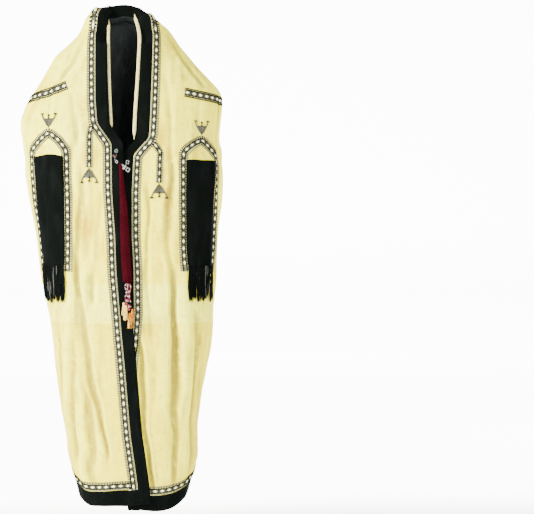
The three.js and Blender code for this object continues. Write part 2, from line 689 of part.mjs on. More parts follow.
// The back tie: two beaded bands that hang from a red knot where the false sleeves meet.
const KNOT = { x: -18, z: -921, lift: 16 };
const BANDS = {
  right: { side: 1, low: [50, -1030], tassel: [58, -1064] },
  left: { side: -1, low: [-90, -1028], tassel: [-98, -1062] },
};
const backY = (x, level) => surface(x < 0 ? -1 : 1, arcOf(x < 0 ? -1 : 1, Math.abs(x), level, true), level, false).y;
const BAND = { width: 38, tip: 12, thick: 3, out: 17 };
function beadedBand(band) {
  const top = new THREE.Vector2(KNOT.x + band.side * 10, KNOT.z + 2);
  const low = new THREE.Vector2(...band.low);
  const tip = new THREE.Vector2(...band.tassel);
  const along = low.clone().sub(top).normalize();
  const across = new THREE.Vector2(-along.y, along.x);
  const stations = [[top, 0.55], [top.clone().lerp(low, 0.22), 1], [top.clone().lerp(low, 0.6), 1], [low, 0.9], [tip, BAND.tip / BAND.width]];
  const layer = (out) => stations.map(([p, share]) => [-0.5, 0, 0.5].map((k) => {
    const q = p.clone().addScaledVector(across, k * share * BAND.width);
    return new THREE.Vector3(q.x, backY(q.x, q.y) + out, q.y);
  }));
  return wall(layer(BAND.out + BAND.thick), layer(BAND.out));
}
function bandTassel(band) {
  const [x, z] = band.tassel;
  return tassel([x, backY(x, z) + BAND.out + 10, z - 3.5], 8, 40, 10, 1.2);
}
function backKnot() {
  const knot = new THREE.IcosahedronGeometry(1, 1).scale(11, 7, 13);
  return knot.translate(KNOT.x, backY(KNOT.x, KNOT.z) + BAND.out + BAND.thick + 8, KNOT.z);
}
function centreTassel() {
  const z = KNOT.z - 20;
  return tassel([KNOT.x, backY(KNOT.x, z) + BAND.out + BAND.thick + 8, z], 5, 34, 8, 1.1);
}

// ---------- assembly ----------

const colours = {
  cotton: [0xf3e9c0, 0.9],
  black: [0x16191a, 0.85],
  braid: [0x8c8a72, 0.9],
  lining: [0x1d2021, 0.95],
  crimson: [0x6f0e1f, 0.6],
  beads: [0xd8c8c0, 0.35],
  beadwork: [0x6d6a60, 0.5],
  orange: [0xd98b2b, 0.8],
};
const materials = Object.fromEntries(Object.entries(colours).map(([name, [color, roughness]]) =>
  [name, new THREE.MeshStandardMaterial({ name, color, roughness, metalness: 0 })]));

const paranja = new THREE.Group();
function add(name, geometry, material) {
  const mesh = new THREE.Mesh(geometry, materials[material]);
  mesh.name = name;
  paranja.add(mesh);
}

for (const side of [-1, 1]) {
  const name = sideName(side);
  const front = frontGrids[side];
  const back = backGrids[side];
  add("front_" + name, wallOn(front, 0, CLOTH), "cotton");
  add("back_" + name, wallOn(back, 0, CLOTH), "cotton");
  add("border_" + name, sideBorder(side), "black");
  add("hem_front_" + name, wallOn(hemGrid(front, true, side), 0, CLOTH), "black");
  add("hem_back_" + name, wallOn(hemGrid(back, false, side), 0, CLOTH), "black");
  add("edge_braid_" + name, wallOn(front.map((row) => row.slice(0, 2)), SEAM + BRAID_THICK, BRAID_THICK), "braid");
  const hemRows = (grid, from) => grid.slice(-2).map((row) => row.slice(from));
  add("hem_braid_front_" + name, wallOn(hemRows(front, 1).map((row, i) => row.map((address, j) =>
    (j ? address : [address[0], address[1] + SEAM, ...address.slice(2)]))), SEAM + BRAID_THICK, BRAID_THICK), "braid");
  add("hem_braid_back_" + name, wallOn(hemRows(back, 0), SEAM + BRAID_THICK, BRAID_THICK), "braid");
  add("lining_" + name, lining(side), "lining");
  add("false_sleeve_" + name, falseSleeve(side), "cotton");
  add("sleeve_end_" + name, sleeveEnd(side), "black");
  const pocket = POCKETS[name];
  add("breast_braid_" + name, stripOn(side, pocketOutline(pocket), POCKET_BRAID, 2.4, BRAID_THICK), "braid");
  add("breast_panel_" + name, breastPanel(pocket), "black");
  add("breast_fringe_" + name, fringe(pocket), "black");
  add("shoulder_braid_front_" + name, stripOn(side, SHOULDER_FRONT[name], BRAID_WIDTH, 1.4, BRAID_THICK), "braid");
  add("shoulder_braid_back_" + name, stripOn(side, SHOULDER_BACK, BRAID_WIDTH, SLEEVE_LIFT + CLOTH + 0.7, BRAID_THICK,
    { back: true, folded: false }), "braid");
  add("inner_ribbon_" + name, innerRibbon(RIBBONS[name]), "cotton");
  add("clasp_" + name, beadChain(CLASP_BEADS[name].map(([x, z]) => [x, frontY(x, z) - 12, z]), BEAD_RADIUS), "beads");
  add("beaded_band_" + name, beadedBand(BANDS[name]), "beadwork");
  add("band_tassel_" + name, bandTassel(BANDS[name]), "orange");
}
add("border_crown", crownBorder(), "black");
const crownRows = [0, 1].map((row) => crownAddresses(row).slice(2, -2)
  .map(([side, arc, level, extra]) => [side, arc, level || -CROWN_BRAID_START, extra]));
add("crown_braid", wallOn(crownRows, CROWN_BRAID_OUT + BRAID_THICK, BRAID_THICK), "braid");
const BRANCHES = { left: [[98, -342], [98, -418]], right: [[84, -384], [95, -400], [95, -462]] };
for (const side of [-1, 1]) {
  const name = sideName(side);
  add("branch_braid_" + name, stripOn(side, BRANCHES[name], 16, 0.6, BRAID_THICK), "braid");
}
const YOKE = [[28, -24], [28, -38], [27, -52], [15, -72], [0, -86], [-15, -72], [-27, -52], [-28, -38], [-28, -24]];
add("yoke_braid", stripOn(1, YOKE, 10, 1.6, BRAID_THICK, { back: true, step: 24 }), "braid");
add("tie_ribbon", tieRibbon(), "crimson");
add("bead_drop_left", beadDrop(DROP_LEFT), "beads");
add("bead_drop_right", beadDrop(DROP_RIGHT), "beads");
add("chest_tassel_left", chestTassel(DROP_LEFT, 34), "orange");
add("chest_tassel_right", chestTassel(DROP_RIGHT, 36), "orange");
add("back_knot", backKnot(), "crimson");
add("centre_tassel", centreTassel(), "orange");

export default paranja;
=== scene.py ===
"""The looks of a white paranja, a mantle worn over the head, seen from the front as it hangs when worn."""
import json
import math

import bpy
import numpy as np
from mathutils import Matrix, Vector

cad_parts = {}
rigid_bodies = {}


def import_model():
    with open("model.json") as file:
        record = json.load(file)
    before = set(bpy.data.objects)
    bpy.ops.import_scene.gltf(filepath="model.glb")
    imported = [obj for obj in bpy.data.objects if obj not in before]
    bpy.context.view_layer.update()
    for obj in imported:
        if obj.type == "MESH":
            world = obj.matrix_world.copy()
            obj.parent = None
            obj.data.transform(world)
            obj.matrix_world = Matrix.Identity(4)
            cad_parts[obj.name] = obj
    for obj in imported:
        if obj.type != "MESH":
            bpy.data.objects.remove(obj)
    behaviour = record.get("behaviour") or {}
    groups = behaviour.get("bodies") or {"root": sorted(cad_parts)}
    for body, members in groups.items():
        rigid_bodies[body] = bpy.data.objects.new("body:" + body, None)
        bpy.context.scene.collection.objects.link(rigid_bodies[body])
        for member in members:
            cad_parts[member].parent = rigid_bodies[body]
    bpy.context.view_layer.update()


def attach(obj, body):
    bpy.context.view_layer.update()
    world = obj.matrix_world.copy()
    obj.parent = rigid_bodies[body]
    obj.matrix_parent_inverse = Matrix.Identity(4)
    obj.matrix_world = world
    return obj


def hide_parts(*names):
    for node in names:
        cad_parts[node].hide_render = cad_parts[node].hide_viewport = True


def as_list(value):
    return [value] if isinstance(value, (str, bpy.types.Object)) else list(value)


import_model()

# Millimetres, +Z up, the front faces -Y. Every cloth piece lies on one surface addressed by side (-1 is -X),
# arc (distance along the horizontal section from the middle of the front) and level (the section's height).
MM = 0.001
BORDER_WIDTH = 33.0
HEM_LEVEL = -1320.0
HEM_DEPTH = 43.0
OVERLAP_STEP = 5.0
SLEEVE_LIFT = 8.0
LINING_GAP = 13.0
WALL = 1.6


def table(names, rows):
    return dict(zip(names.split(), np.array(rows, float).T))


SECTIONS = table("level left right front middle back", [
    [0, 88, 80, -13, -3, 7], [-4.5, 112, 101, -19, 4, 27], [-12, 119, 116, -27, 9, 45], [-24, 126, 128, -36, 12, 62],
    [-40, 136, 140, -50, 15, 80], [-62, 158, 155, -64, 17, 98], [-97, 195, 184, -78, 18, 116],
    [-130, 216, 212, -88, 18, 128], [-164, 235, 245, -97, 16, 137], [-197, 255, 271, -105, 14, 144],
    [-231, 275, 278, -114, 11, 149], [-265, 288, 276, -124, 8, 154], [-298, 292, 272, -132, 6, 157],
    [-332, 288, 269, -140, 4, 160], [-385, 279, 274, -151, 1, 163], [-433, 277, 279, -157, 0, 163],
    [-500, 265, 278, -160, -1, 162], [-600, 248, 265, -162, -2, 160], [-720, 236, 261, -160, -3, 157],
    [-802, 219, 253, -158, -4, 155], [-870, 206, 248, -156, -5, 153], [-1004, 190, 226, -152, -6, 148],
    [-1138, 172, 205, -148, -6, 144], [-1206, 164, 203, -146, -6, 142], [-1273, 156, 204, -144, -6, 140],
    [-1320, 143, 193, -142, -6, 138], [-1400, 124, 172, -140, -6, 134],
])
FRONT_EDGES = table("level left right", [
    [0, 68, 66], [-12, 77, 74], [-40, 83, 79], [-130, 83, 76], [-231, 82, 72], [-296, 77, 69], [-340, 47, 66],
    [-354, 37, 50], [-385, 37, 24], [-486, 36, 19], [-614, 27, 19], [-710, 24, 24], [-825, 14, 25], [-886, 9, 20],
    [-950, 3, 12], [-1007, -2, 8], [-1163, -15, 17], [-1306, -34, 36], [-1400, -42, 44],
])
HEM_RISE = table("angle left right", [
    [-20, 10, -6], [0, 8, -7], [20, 3, -10], [40, 4, -2], [60, 20, 16], [90, 40, 44], [120, 18, 16],
    [150, 2, 4], [180, 0, 0],
])
# How far the crown seam rises: the middle of each peak, its half-width, its height and how deep it reaches.
CROWN_PEAKS = [(0, 42, 17, 55), (-80, 27, 40, 34), (69, 22, 24, 32)]
# Folds: from an upper (x, z) to a lower one, half-width across, and height out of the cloth.
FRONT_FOLDS = [
    [-132, -720, -74, -1290, 24, -8], [-96, -760, -40, -1290, 20, 4], [-160, -800, -112, -1290, 20, 4],
    [-122, -470, -126, -730, 22, -4], [148, -640, 141, -1260, 22, -6], [176, -760, 174, -1260, 18, 5],
    [108, -560, 98, -1290, 30, 4], [74, -880, 92, -1290, 22, -4],
]
BACK_FOLDS = [
    [34, -90, -12, -900, 17, -9], [4, -130, -22, -900, 14, 6], [-26, -110, -24, -900, 15, -10],
    [-62, -120, -32, -900, 16, 5], [62, -110, 2, -900, 16, 4], [196, -500, 120, -1280, 28, -7],
    [-200, -470, -130, -1280, 28, -7], [162, -900, 138, -1290, 22, 5],
]
# Sharper creases: width, height, and the (x, z) points that each one runs through.
FRONT_CREASES = [
    (7, -5.5, (-137, -662), (-118, -830), (-100, -960), (-74, -1082), (-48, -1222)),
    (9, -3.5, (-84, -704), (-98, -822)),
    (11, -7, (-140, -892), (-151, -1082), (-134, -1222)),
    (8, -5, (-134, -1040), (-115, -1186), (-98, -1280)),
    (9, -6, (129, -718), (140, -836), (139, -1082), (146, -1166), (132, -1290)),
    (7, -7, (42, -900), (49, -1080), (64, -1200), (74, -1300)),
    (7, -5, (196, -928), (196, -1012), (182, -1116), (182, -1290)),
    (9, -3.5, (112, -172), (129, -284), (129, -438), (118, -612), (129, -718)),
    (8, -3, (-157, -206), (-140, -298), (-123, -346), (-120, -438), (-132, -648)),
    (9, -3.5, (115, -38), (160, -102), (224, -186)),
    (9, -2.5, (-118, -60), (-140, -120), (-190, -180)),
    (7, -2.5, (-64, -494), (-76, -676)),
    (7, -2.5, (64, -470), (60, -700), (72, -900)),
    (16, 4, (160, -700), (166, -900), (164, -1250)),
    (15, 4, (-112, -700), (-92, -1000), (-66, -1280)),
]
BACK_CREASES = [
    (5, -4.0, (16, -150), (6, -250), (0, -330), (-8, -500), (-14, -700), (-20, -900)),
    (6, -3.6, (-50, -125), (-60, -200), (-64, -330), (-50, -480), (-38, -640), (-28, -800)),
    (7, -3.2, (50, -170), (48, -320), (30, -480), (10, -640), (-6, -800)),
    (9, -3.0, (-31, -190), (-31, -320), (-30, -480), (-26, -700)),
    (5, -4.0, (74, -120), (72, -190), (64, -260), (52, -360), (38, -460)),
    (4, -4.0, (-50, -128), (-56, -172)), (4, -4.0, (73, -136), (72, -196)),
    (9, -3, (-176, -380), (-190, -520), (-182, -760)),
    (9, -3, (186, -400), (200, -560), (196, -820)),
    (12, -3, (-118, -700), (-132, -900), (-126, -1250)),
    (10, -3, (118, -760), (128, -1000), (112, -1280)),
    (8, -4, (-150, -420), (-168, -700), (-140, -1250)),
    (8, -4, (150, -430), (176, -760), (130, -1260)),
    (7, -3, (-60, -960), (-84, -1290)),
    (7, -3, (80, -980), (96, -1290)),
]
SIDES = (-1, 1)
NAME = {-1: "left", 1: "right"}


def smooth(v):
    v = np.clip(v, 0, 1)
    return v * v * (3 - 2 * v)


def bell(v):
    return np.exp(-v * v)


def averaged(values, reach):
    """Values, each averaged with its neighbours up to this many places away."""
    taps = np.ones(2 * reach + 1) / (2 * reach + 1)
    return np.convolve(np.pad(values, reach, "edge"), taps, "valid")


def run_along(points):
    """Distance along a line at each of its points."""
    return np.concatenate([[0], np.cumsum(np.linalg.norm(np.diff(points, axis=0), axis=1))])


def straight(tab, key, column, at):
    k = tab[key]
    return np.interp(at, k, tab[column]) if k[0] < k[1] else np.interp(-np.asarray(at), -k, tab[column])


def rounded(tab, key, column, at):
    """A table's column as a smooth curve through its rows, straight beyond the ends."""
    k, v = tab[key], tab[column]
    at = np.asarray(at, float)
    i = np.clip(np.searchsorted(k if k[0] < k[1] else -k, at if k[0] < k[1] else -at, "right") - 1, 0, len(k) - 2)
    slopes = np.diff(v) / np.diff(k)
    span = (k[1:] - k[:-1])[i]
    t = (at - k[i]) / span
    start = np.where(i > 0, (slopes[np.maximum(i - 1, 0)] + slopes[i]) / 2, slopes[i])
    end = np.where(i < len(k) - 2, (slopes[i] + slopes[np.minimum(i + 1, len(slopes) - 1)]) / 2, slopes[i])
    h = t * t * (3 - 2 * t)
    curve = v[i] * (1 - h) + v[i + 1] * h + span * (t * (1 - t) ** 2 * start - t * t * (1 - t) * end)
    return np.where((t < 0) | (t > 1), v[i] + t * span * slopes[i], curve)


# ---------- the surface, kept as grids of points and normals ----------

ROWS = np.concatenate([np.arange(0, -30, -0.75), np.arange(-30, -100, -1.5), np.arange(-100, -1406, -3.0)])
STEP = 2.5
ARCS = np.arange(-100, 901, STEP)
ANGLES = np.linspace(0, np.pi, 181)


def blurred(values, width):
    """Values along ROWS, averaged over nearby levels."""
    out = np.array(values, float)
    for i, level in enumerate(ROWS):
        weight = bell((ROWS - level) / width)
        out[i] = (weight * values).sum() / weight.sum()
    return out


EDGE_X = {s: blurred(straight(FRONT_EDGES, "level", NAME[s], ROWS), 7.0) for s in SIDES}
for s in SIDES:
    keep = smooth(-ROWS / 30)
    EDGE_X[s] = EDGE_X[s] * keep + straight(FRONT_EDGES, "level", NAME[s], ROWS) * (1 - keep)


def section(side, row):
    level = ROWS[row]
    a = float(rounded(SECTIONS, "level", NAME[side], level))
    mid, front, back = (float(rounded(SECTIONS, "level", c, level)) for c in ("middle", "front", "back"))
    power = 2 / (2 + 0.8 * float(smooth((-level - 60) / 300)))
    edge = min(0.97, abs(EDGE_X[side][row]) / a)
    depth = (mid - front) / math.cos(math.asin(edge ** (1 / power))) ** power
    x = side * a * np.maximum(0, np.sin(ANGLES)) ** power
    reach = np.abs(np.cos(ANGLES)) ** power
    y = np.where(ANGLES < np.pi / 2, mid - depth * reach, mid + (back - mid) * reach)
    arc = np.concatenate([[0], np.cumsum(np.hypot(np.diff(x), np.diff(y)))])
    return x, y, arc


def fold_height(folds, x, z):
    height = np.zeros_like(x)
    for top_x, top_z, low_x, low_z, width, out in folds:
        t = (z - top_z) / (low_z - top_z)
        ends = smooth((t + 0.12) / 0.3) * smooth((1.15 - t) / 0.25)
        height += out * ends * bell((x - (top_x + t * (low_x - top_x))) / width)
    return height


def crease_height(lines, x, z):
    height = np.zeros_like(x)
    for width, out, *points in lines:
        xs, zs = np.array(points, float).T
        wander = 3.2 * np.sin(z / 47 + xs[0]) + 1.8 * np.sin(z / 21 + 2 * xs[0])
        across = (x - np.interp(-z, -zs, xs) - wander) / (width * (1 + 0.25 * np.sin(z / 66 + zs[0])))
        ends = smooth((zs[0] - z + 30) / 60) * smooth((z - zs[-1] + 30) / 60)
        ends *= 0.72 + 0.28 * np.sin(z / 83 + width + xs[0])
        height += 1.9 * out * ends * (bell(across) - 0.35 * bell((np.abs(across) - 1.9) / 0.9))
    return height


CREASE_COUNT, CREASE_SEED = 260, 40


def creases(side, arc, level, count, seed):
    """Small soft creases, mostly upright, that fade out at both ends."""
    random = np.random.default_rng(seed)
    height = np.zeros(arc.shape)
    for _ in range(count):
        centre = random.uniform(60, 640)
        middle = random.uniform(-1300, -90)
        length = random.uniform(50, 230)
        width = random.uniform(4.5, 13)
        lean = random.normal(0, 0.10)
        out = random.normal(0, 2.3) * (width / 10)
        if random.random() < 0.18:
            length, width, lean = random.uniform(18, 60), random.uniform(5, 9), random.normal(0, 1.2)
        rows = np.abs(level[:, 0] - middle) < 2.2 * length
        if rows.any():
            along = (level[rows] - middle) / length
            across = (arc[rows] - centre - lean * (level[rows] - middle)) / width
            height[rows] += out * bell(along) * bell(across)
    return height


GRID = {}
HALF = {}
EDGE_ARC = {}
RELIEF = {}


def make_grids():
    halves = {s: [section(s, i) for i in range(len(ROWS))] for s in SIDES}
    arc, level = np.meshgrid(ARCS, ROWS)
    for side in SIDES:
        x, y, angle = (np.zeros(arc.shape) for _ in range(3))
        HALF[side] = np.array([h[2][-1] for h in halves[side]])
        for i in range(len(ROWS)):
            ox, oy, oa = halves[side][i]
            px, py, pa = halves[-side][i]
            w = ARCS
            own = (w >= 0) & (w <= oa[-1])
            x[i, own], y[i, own] = np.interp(w[own], oa, ox), np.interp(w[own], oa, oy)
            angle[i, own] = np.interp(w[own], oa, ANGLES)
            before = w < 0
            x[i, before], y[i, before] = np.interp(-w[before], pa, px), np.interp(-w[before], pa, py)
            angle[i, before] = -np.interp(-w[before], pa, ANGLES)
            after = w > oa[-1]
            rest = np.maximum(0, pa[-1] - (w[after] - oa[-1]))
            x[i, after], y[i, after] = np.interp(rest, pa, px), np.interp(rest, pa, py)
            angle[i, after] = 2 * np.pi - np.interp(rest, pa, ANGLES)
        degrees = np.degrees(angle)
        turned = np.where(degrees > 180, 360 - degrees, degrees)
        rise = np.where(degrees > 180, rounded(HEM_RISE, "angle", NAME[-side], turned),
                        rounded(HEM_RISE, "angle", NAME[side], turned))
        peaks = sum(out * bell((x - at) / wide) * smooth(1 + level / deep) for at, wide, out, deep in CROWN_PEAKS)
        z = level + rise * smooth((-1080 - level) / 240) + peaks
        plain = np.stack([x, y, z], -1)
        tangent_x, tangent_y = np.gradient(x, axis=1) * side, np.gradient(y, axis=1) * side
        size = np.maximum(1e-6, np.hypot(tangent_x, tangent_y))
        out = np.stack([tangent_y / size, -tangent_x / size, np.zeros_like(x)], -1)
        behind = turned > 90
        window = smooth((90 - turned) / 14) + smooth((turned - 90) / 14)
        height = np.where(behind, fold_height(BACK_FOLDS, x, z) + crease_height(BACK_CREASES, x, z),
                          fold_height(FRONT_FOLDS, x, z) + crease_height(FRONT_CREASES, x, z)) * window
        ridge = 6 * bell((z + 368) / 26) * smooth((np.abs(x) - 196) / 40)
        height += np.where(behind, ridge, 0)
        EDGE_ARC[side] = np.array([arc_at(side, x[i], ARCS, EDGE_X[side][i]) for i in range(len(ROWS))])
        from_edge = arc - EDGE_ARC[side][:, None]
        fine = creases(side, arc, level, CREASE_COUNT, CREASE_SEED + side)
        middle = HALF[side][:, None] - arc
        fine *= smooth((from_edge - 22) / 40) * smooth((middle - 20) / 40) * smooth((-level - 20) / 70)
        height += fine
        height += -side * OVERLAP_STEP * smooth((-level - 300) / 70) * (1 - smooth(from_edge / 130))
        # The relief, height above the nearby cloth, is kept so that the materials paint shade in its hollows and
        # highlight on its ridges.
        wide = bell(np.arange(-24, 25) / 11.0)
        near = np.stack([np.convolve(np.pad(row, 24, "edge"), wide / wide.sum(), "valid") for row in height])
        RELIEF[side] = (height - near)[..., None]
        folded = plain + out * height[..., None]
        for name, points in (("plain", plain), ("folded", folded)):
            along = np.gradient(points, axis=1)
            down = np.gradient(points, axis=0)
            normal = np.cross(along, -down) * side
            normal /= np.maximum(1e-9, np.linalg.norm(normal, axis=-1, keepdims=True))
            GRID[side, name] = (points, normal)


def arc_at(side, xs, arcs, wanted):
    """The arc at which a row of the grid, on its front half, reaches this distance from the middle line."""
    own = xs * side
    start = int(np.searchsorted(arcs, -95))
    stop = int(np.argmax(own))
    return np.interp(wanted, own[start:stop + 1], arcs[start:stop + 1])


make_grids()


def spread(values, arc, level):
    """Values of a grid at these arcs and levels."""
    r = np.interp(-np.asarray(level, float), -ROWS, np.arange(len(ROWS)))
    c = np.clip((np.asarray(arc, float) - ARCS[0]) / STEP, 0, len(ARCS) - 1.001)
    i, j = np.minimum(r.astype(int), len(ROWS) - 2), c.astype(int)
    t, u = (r - i)[..., None], (c - j)[..., None]
    return ((values[i, j] * (1 - u) + values[i, j + 1] * u) * (1 - t)
            + (values[i + 1, j] * (1 - u) + values[i + 1, j + 1] * u) * t)


def place(side, arc, level, out=0.0, kind="folded"):
    points, normals = GRID[side, kind]
    return spread(points, arc, level) + spread(normals, arc, level) * np.asarray(out, float)[..., None]


def half(side, level):
    return np.interp(-np.asarray(level, float), -ROWS, HALF[side])


def edge_arc(side, level):
    return np.interp(-np.asarray(level, float), -ROWS, EDGE_ARC[side])


def arc_of(side, x, level, back=False):
    """The arc of the point at this distance from the middle line, on the front or on the back."""
    row = int(np.argmin(np.abs(ROWS - level)))
    xs = GRID[side, "plain"][0][row, :, 0] * side
    length = HALF[side][row]
    own = (ARCS >= -95) & (ARCS <= length + 90)
    peak = int(np.argmax(np.where(own, xs, -1e9)))
    if back and x > xs[peak]:
        return arc_of(side, 2 * xs[peak] - x, level)
    if back:
        stop = int(np.searchsorted(ARCS, length + min(90, length * 0.9)))
        return float(np.interp(-x, -xs[peak:stop], ARCS[peak:stop]))
    return float(np.interp(x, xs[int(np.searchsorted(ARCS, -95)):peak + 1],
                           ARCS[int(np.searchsorted(ARCS, -95)):peak + 1]))


def levels_between(top, bottom, step):
    """Levels from top to bottom, about evenly spaced down the back, where the crown is nearly flat."""
    points = GRID[1, "plain"][0]
    column = np.array([points[i, int(np.searchsorted(ARCS, HALF[1][i] * 0.9))] for i in range(len(ROWS))])
    run = np.concatenate([[0], np.cumsum(np.linalg.norm(np.diff(column, axis=0), axis=1).clip(0, 12))])
    a, b = np.interp([-top, -bottom], -ROWS, run)
    count = max(2, int(round((b - a) / step)) + 1)
    levels = np.interp(np.linspace(a, b, count), run, ROWS)
    levels[0], levels[-1] = top, bottom
    return levels


# ---------- meshes ----------

class Shape:
    """Vertices in millimetres, faces, a material for each face, and flat cloth coordinates for each vertex."""

    def __init__(self):
        self.points, self.faces, self.slots, self.flat, self.count = [], [], [], [], 0

    def add(self, points, faces, slot=0, flat=None):
        points = np.asarray(points, float).reshape(-1, 3)
        faces = (np.asarray(faces) + self.count).tolist()
        self.points.append(points)
        self.faces += faces
        self.slots += [slot] * len(faces)
        flat = np.zeros((len(points), 2)) if flat is None else np.asarray(flat, float)
        self.flat.append(flat.reshape(len(points), -1))
        self.count += len(points)

    def build(self, name, materials, replaces=()):
        mesh = bpy.data.meshes.new(name)
        points = np.concatenate(self.points) * MM
        mesh.from_pydata(points.tolist(), [], self.faces)
        for material in materials:
            mesh.materials.append(material)
        mesh.polygons.foreach_set("material_index", self.slots)
        layer = mesh.uv_layers.new(name="cloth")
        corners = np.zeros(len(mesh.loops), int)
        mesh.loops.foreach_get("vertex_index", corners)
        flat = np.concatenate([np.pad(f, ((0, 0), (0, 3 - f.shape[1]))) for f in self.flat])[corners]
        layer.data.foreach_set("uv", (flat[:, :2] * MM).ravel())
        if flat[:, 2].any():
            layer = mesh.uv_layers.new(name="relief")
            layer.data.foreach_set("uv", (flat[:, [2, 2]] * 0.1).ravel())
        mesh.shade_smooth()
        mesh.update()
        piece = bpy.data.objects.new(name, mesh)
        bpy.context.scene.collection.objects.link(piece)
        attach(piece, "root")
        if replaces:
            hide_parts(*replaces)
        return piece


def grid_of(x, y, z):
    return np.stack(np.broadcast_arrays(x, y, z), -1)


def grid_faces(rows, columns):
    i, j = np.meshgrid(np.arange(rows - 1), np.arange(columns - 1), indexing="ij")
    a = (i * columns + j).ravel()
    return np.stack([a, a + 1, a + columns + 1, a + columns], 1)


def add_sheet(shape, outer, inner, flat, slot=0, inner_slot=None, rim_slot=None):
    """A closed sheet between two grids of points."""
    rows, columns = outer.shape[:2]
    n = rows * columns
    faces = grid_faces(rows, columns)
    r, c = np.arange(rows - 1), np.arange(columns - 1)
    left = np.stack([(r + 1) * columns, r * columns, r * columns + n, (r + 1) * columns + n], 1)
    right = np.stack([r * columns, (r + 1) * columns, (r + 1) * columns + n, r * columns + n], 1)
    right += columns - 1
    top = np.stack([c, c + 1, c + 1 + n, c + n], 1)[:, ::-1]
    low = np.stack([c, c + 1, c + 1 + n, c + n], 1) + (rows - 1) * columns
    points = np.concatenate([outer.reshape(-1, 3), inner.reshape(-1, 3)])
    both = np.concatenate([flat.reshape(n, -1)] * 2)
    across = np.cross(outer[0, 1] - outer[0, 0], outer[1, 0] - outer[0, 0])
    flip = float(across @ (outer[0, 0] - inner[0, 0])) < 0
    turned = (lambda f: f[:, ::-1]) if flip else (lambda f: f)
    before = shape.count
    shape.add(points, turned(faces), slot, both)
    shape.count = before
    for extra, s in ((faces[:, ::-1] + n, inner_slot), (left[:, ::-1], rim_slot), (right[:, ::-1], rim_slot),
                     (top[:, ::-1], rim_slot), (low[:, ::-1], rim_slot)):
        extra = turned(extra) + before
        shape.faces += extra.tolist()
        shape.slots += [slot if s is None else s] * len(extra)
    shape.count = before + len(points)


def add_tube(shape, path, radius, sides=6, slot=0):
    """A round cord along a path, closed at its ends. radius is one number or one for each point."""
    path = np.asarray(path, float)
    radius = np.broadcast_to(radius, len(path))
    tangent = np.gradient(path, axis=0)
    tangent /= np.maximum(1e-9, np.linalg.norm(tangent, axis=1, keepdims=True))
    across = np.cross(tangent[0], [0, 1, 0] if abs(tangent[0][1]) < 0.8 else [1, 0, 0])
    rings = []
    turn = np.linspace(0, 2 * np.pi, sides, endpoint=False)
    for p, t, r in zip(path, tangent, radius):
        across = across - t * (across @ t)
        across /= max(1e-9, np.linalg.norm(across))
        other = np.cross(t, across)
        rings.append(p + r * (np.cos(turn)[:, None] * across + np.sin(turn)[:, None] * other))
    points = np.concatenate(rings + [path[:1], path[-1:]])
    n = len(path)
    faces = [[i * sides + j, i * sides + (j + 1) % sides, (i + 1) * sides + (j + 1) % sides, (i + 1) * sides + j]
             for i in range(n - 1) for j in range(sides)]
    caps = [[n * sides, (j + 1) % sides, j] for j in range(sides)]
    caps += [[n * sides + 1, (n - 1) * sides + j, (n - 1) * sides + (j + 1) % sides] for j in range(sides)]
    before = shape.count
    shape.add(points, faces, slot)
    shape.faces += (np.array(caps) + before).tolist()
    shape.slots += [slot] * len(caps)


def ball(rings=6, segments=8):
    polar = np.linspace(0, np.pi, rings + 1)
    turn = np.linspace(0, 2 * np.pi, segments, endpoint=False)
    points = [[0, 0, 1]]
    for p in polar[1:-1]:
        points += [[math.sin(p) * math.cos(t), math.sin(p) * math.sin(t), math.cos(p)] for t in turn]
    points.append([0, 0, -1])
    faces = [[0, 1 + j, 1 + (j + 1) % segments] for j in range(segments)]
    for i in range(rings - 2):
        a = 1 + i * segments
        faces += [[a + j, a + segments + j, a + segments + (j + 1) % segments, a + (j + 1) % segments]
                  for j in range(segments)]
    a = 1 + (rings - 2) * segments
    faces += [[len(points) - 1, a + (j + 1) % segments, a + j] for j in range(segments)]
    return np.array(points), faces


BALL = ball()


def add_bead(shape, centre, radius, slot=0, squash=(1, 1, 1)):
    points, faces = BALL
    before = shape.count
    shape.add(np.asarray(centre) + points * radius * np.array(squash), np.zeros((0, 4), int), slot)
    shape.faces += [[v + before for v in f] for f in faces]
    shape.slots += [slot] * len(faces)


# ---------- materials ----------

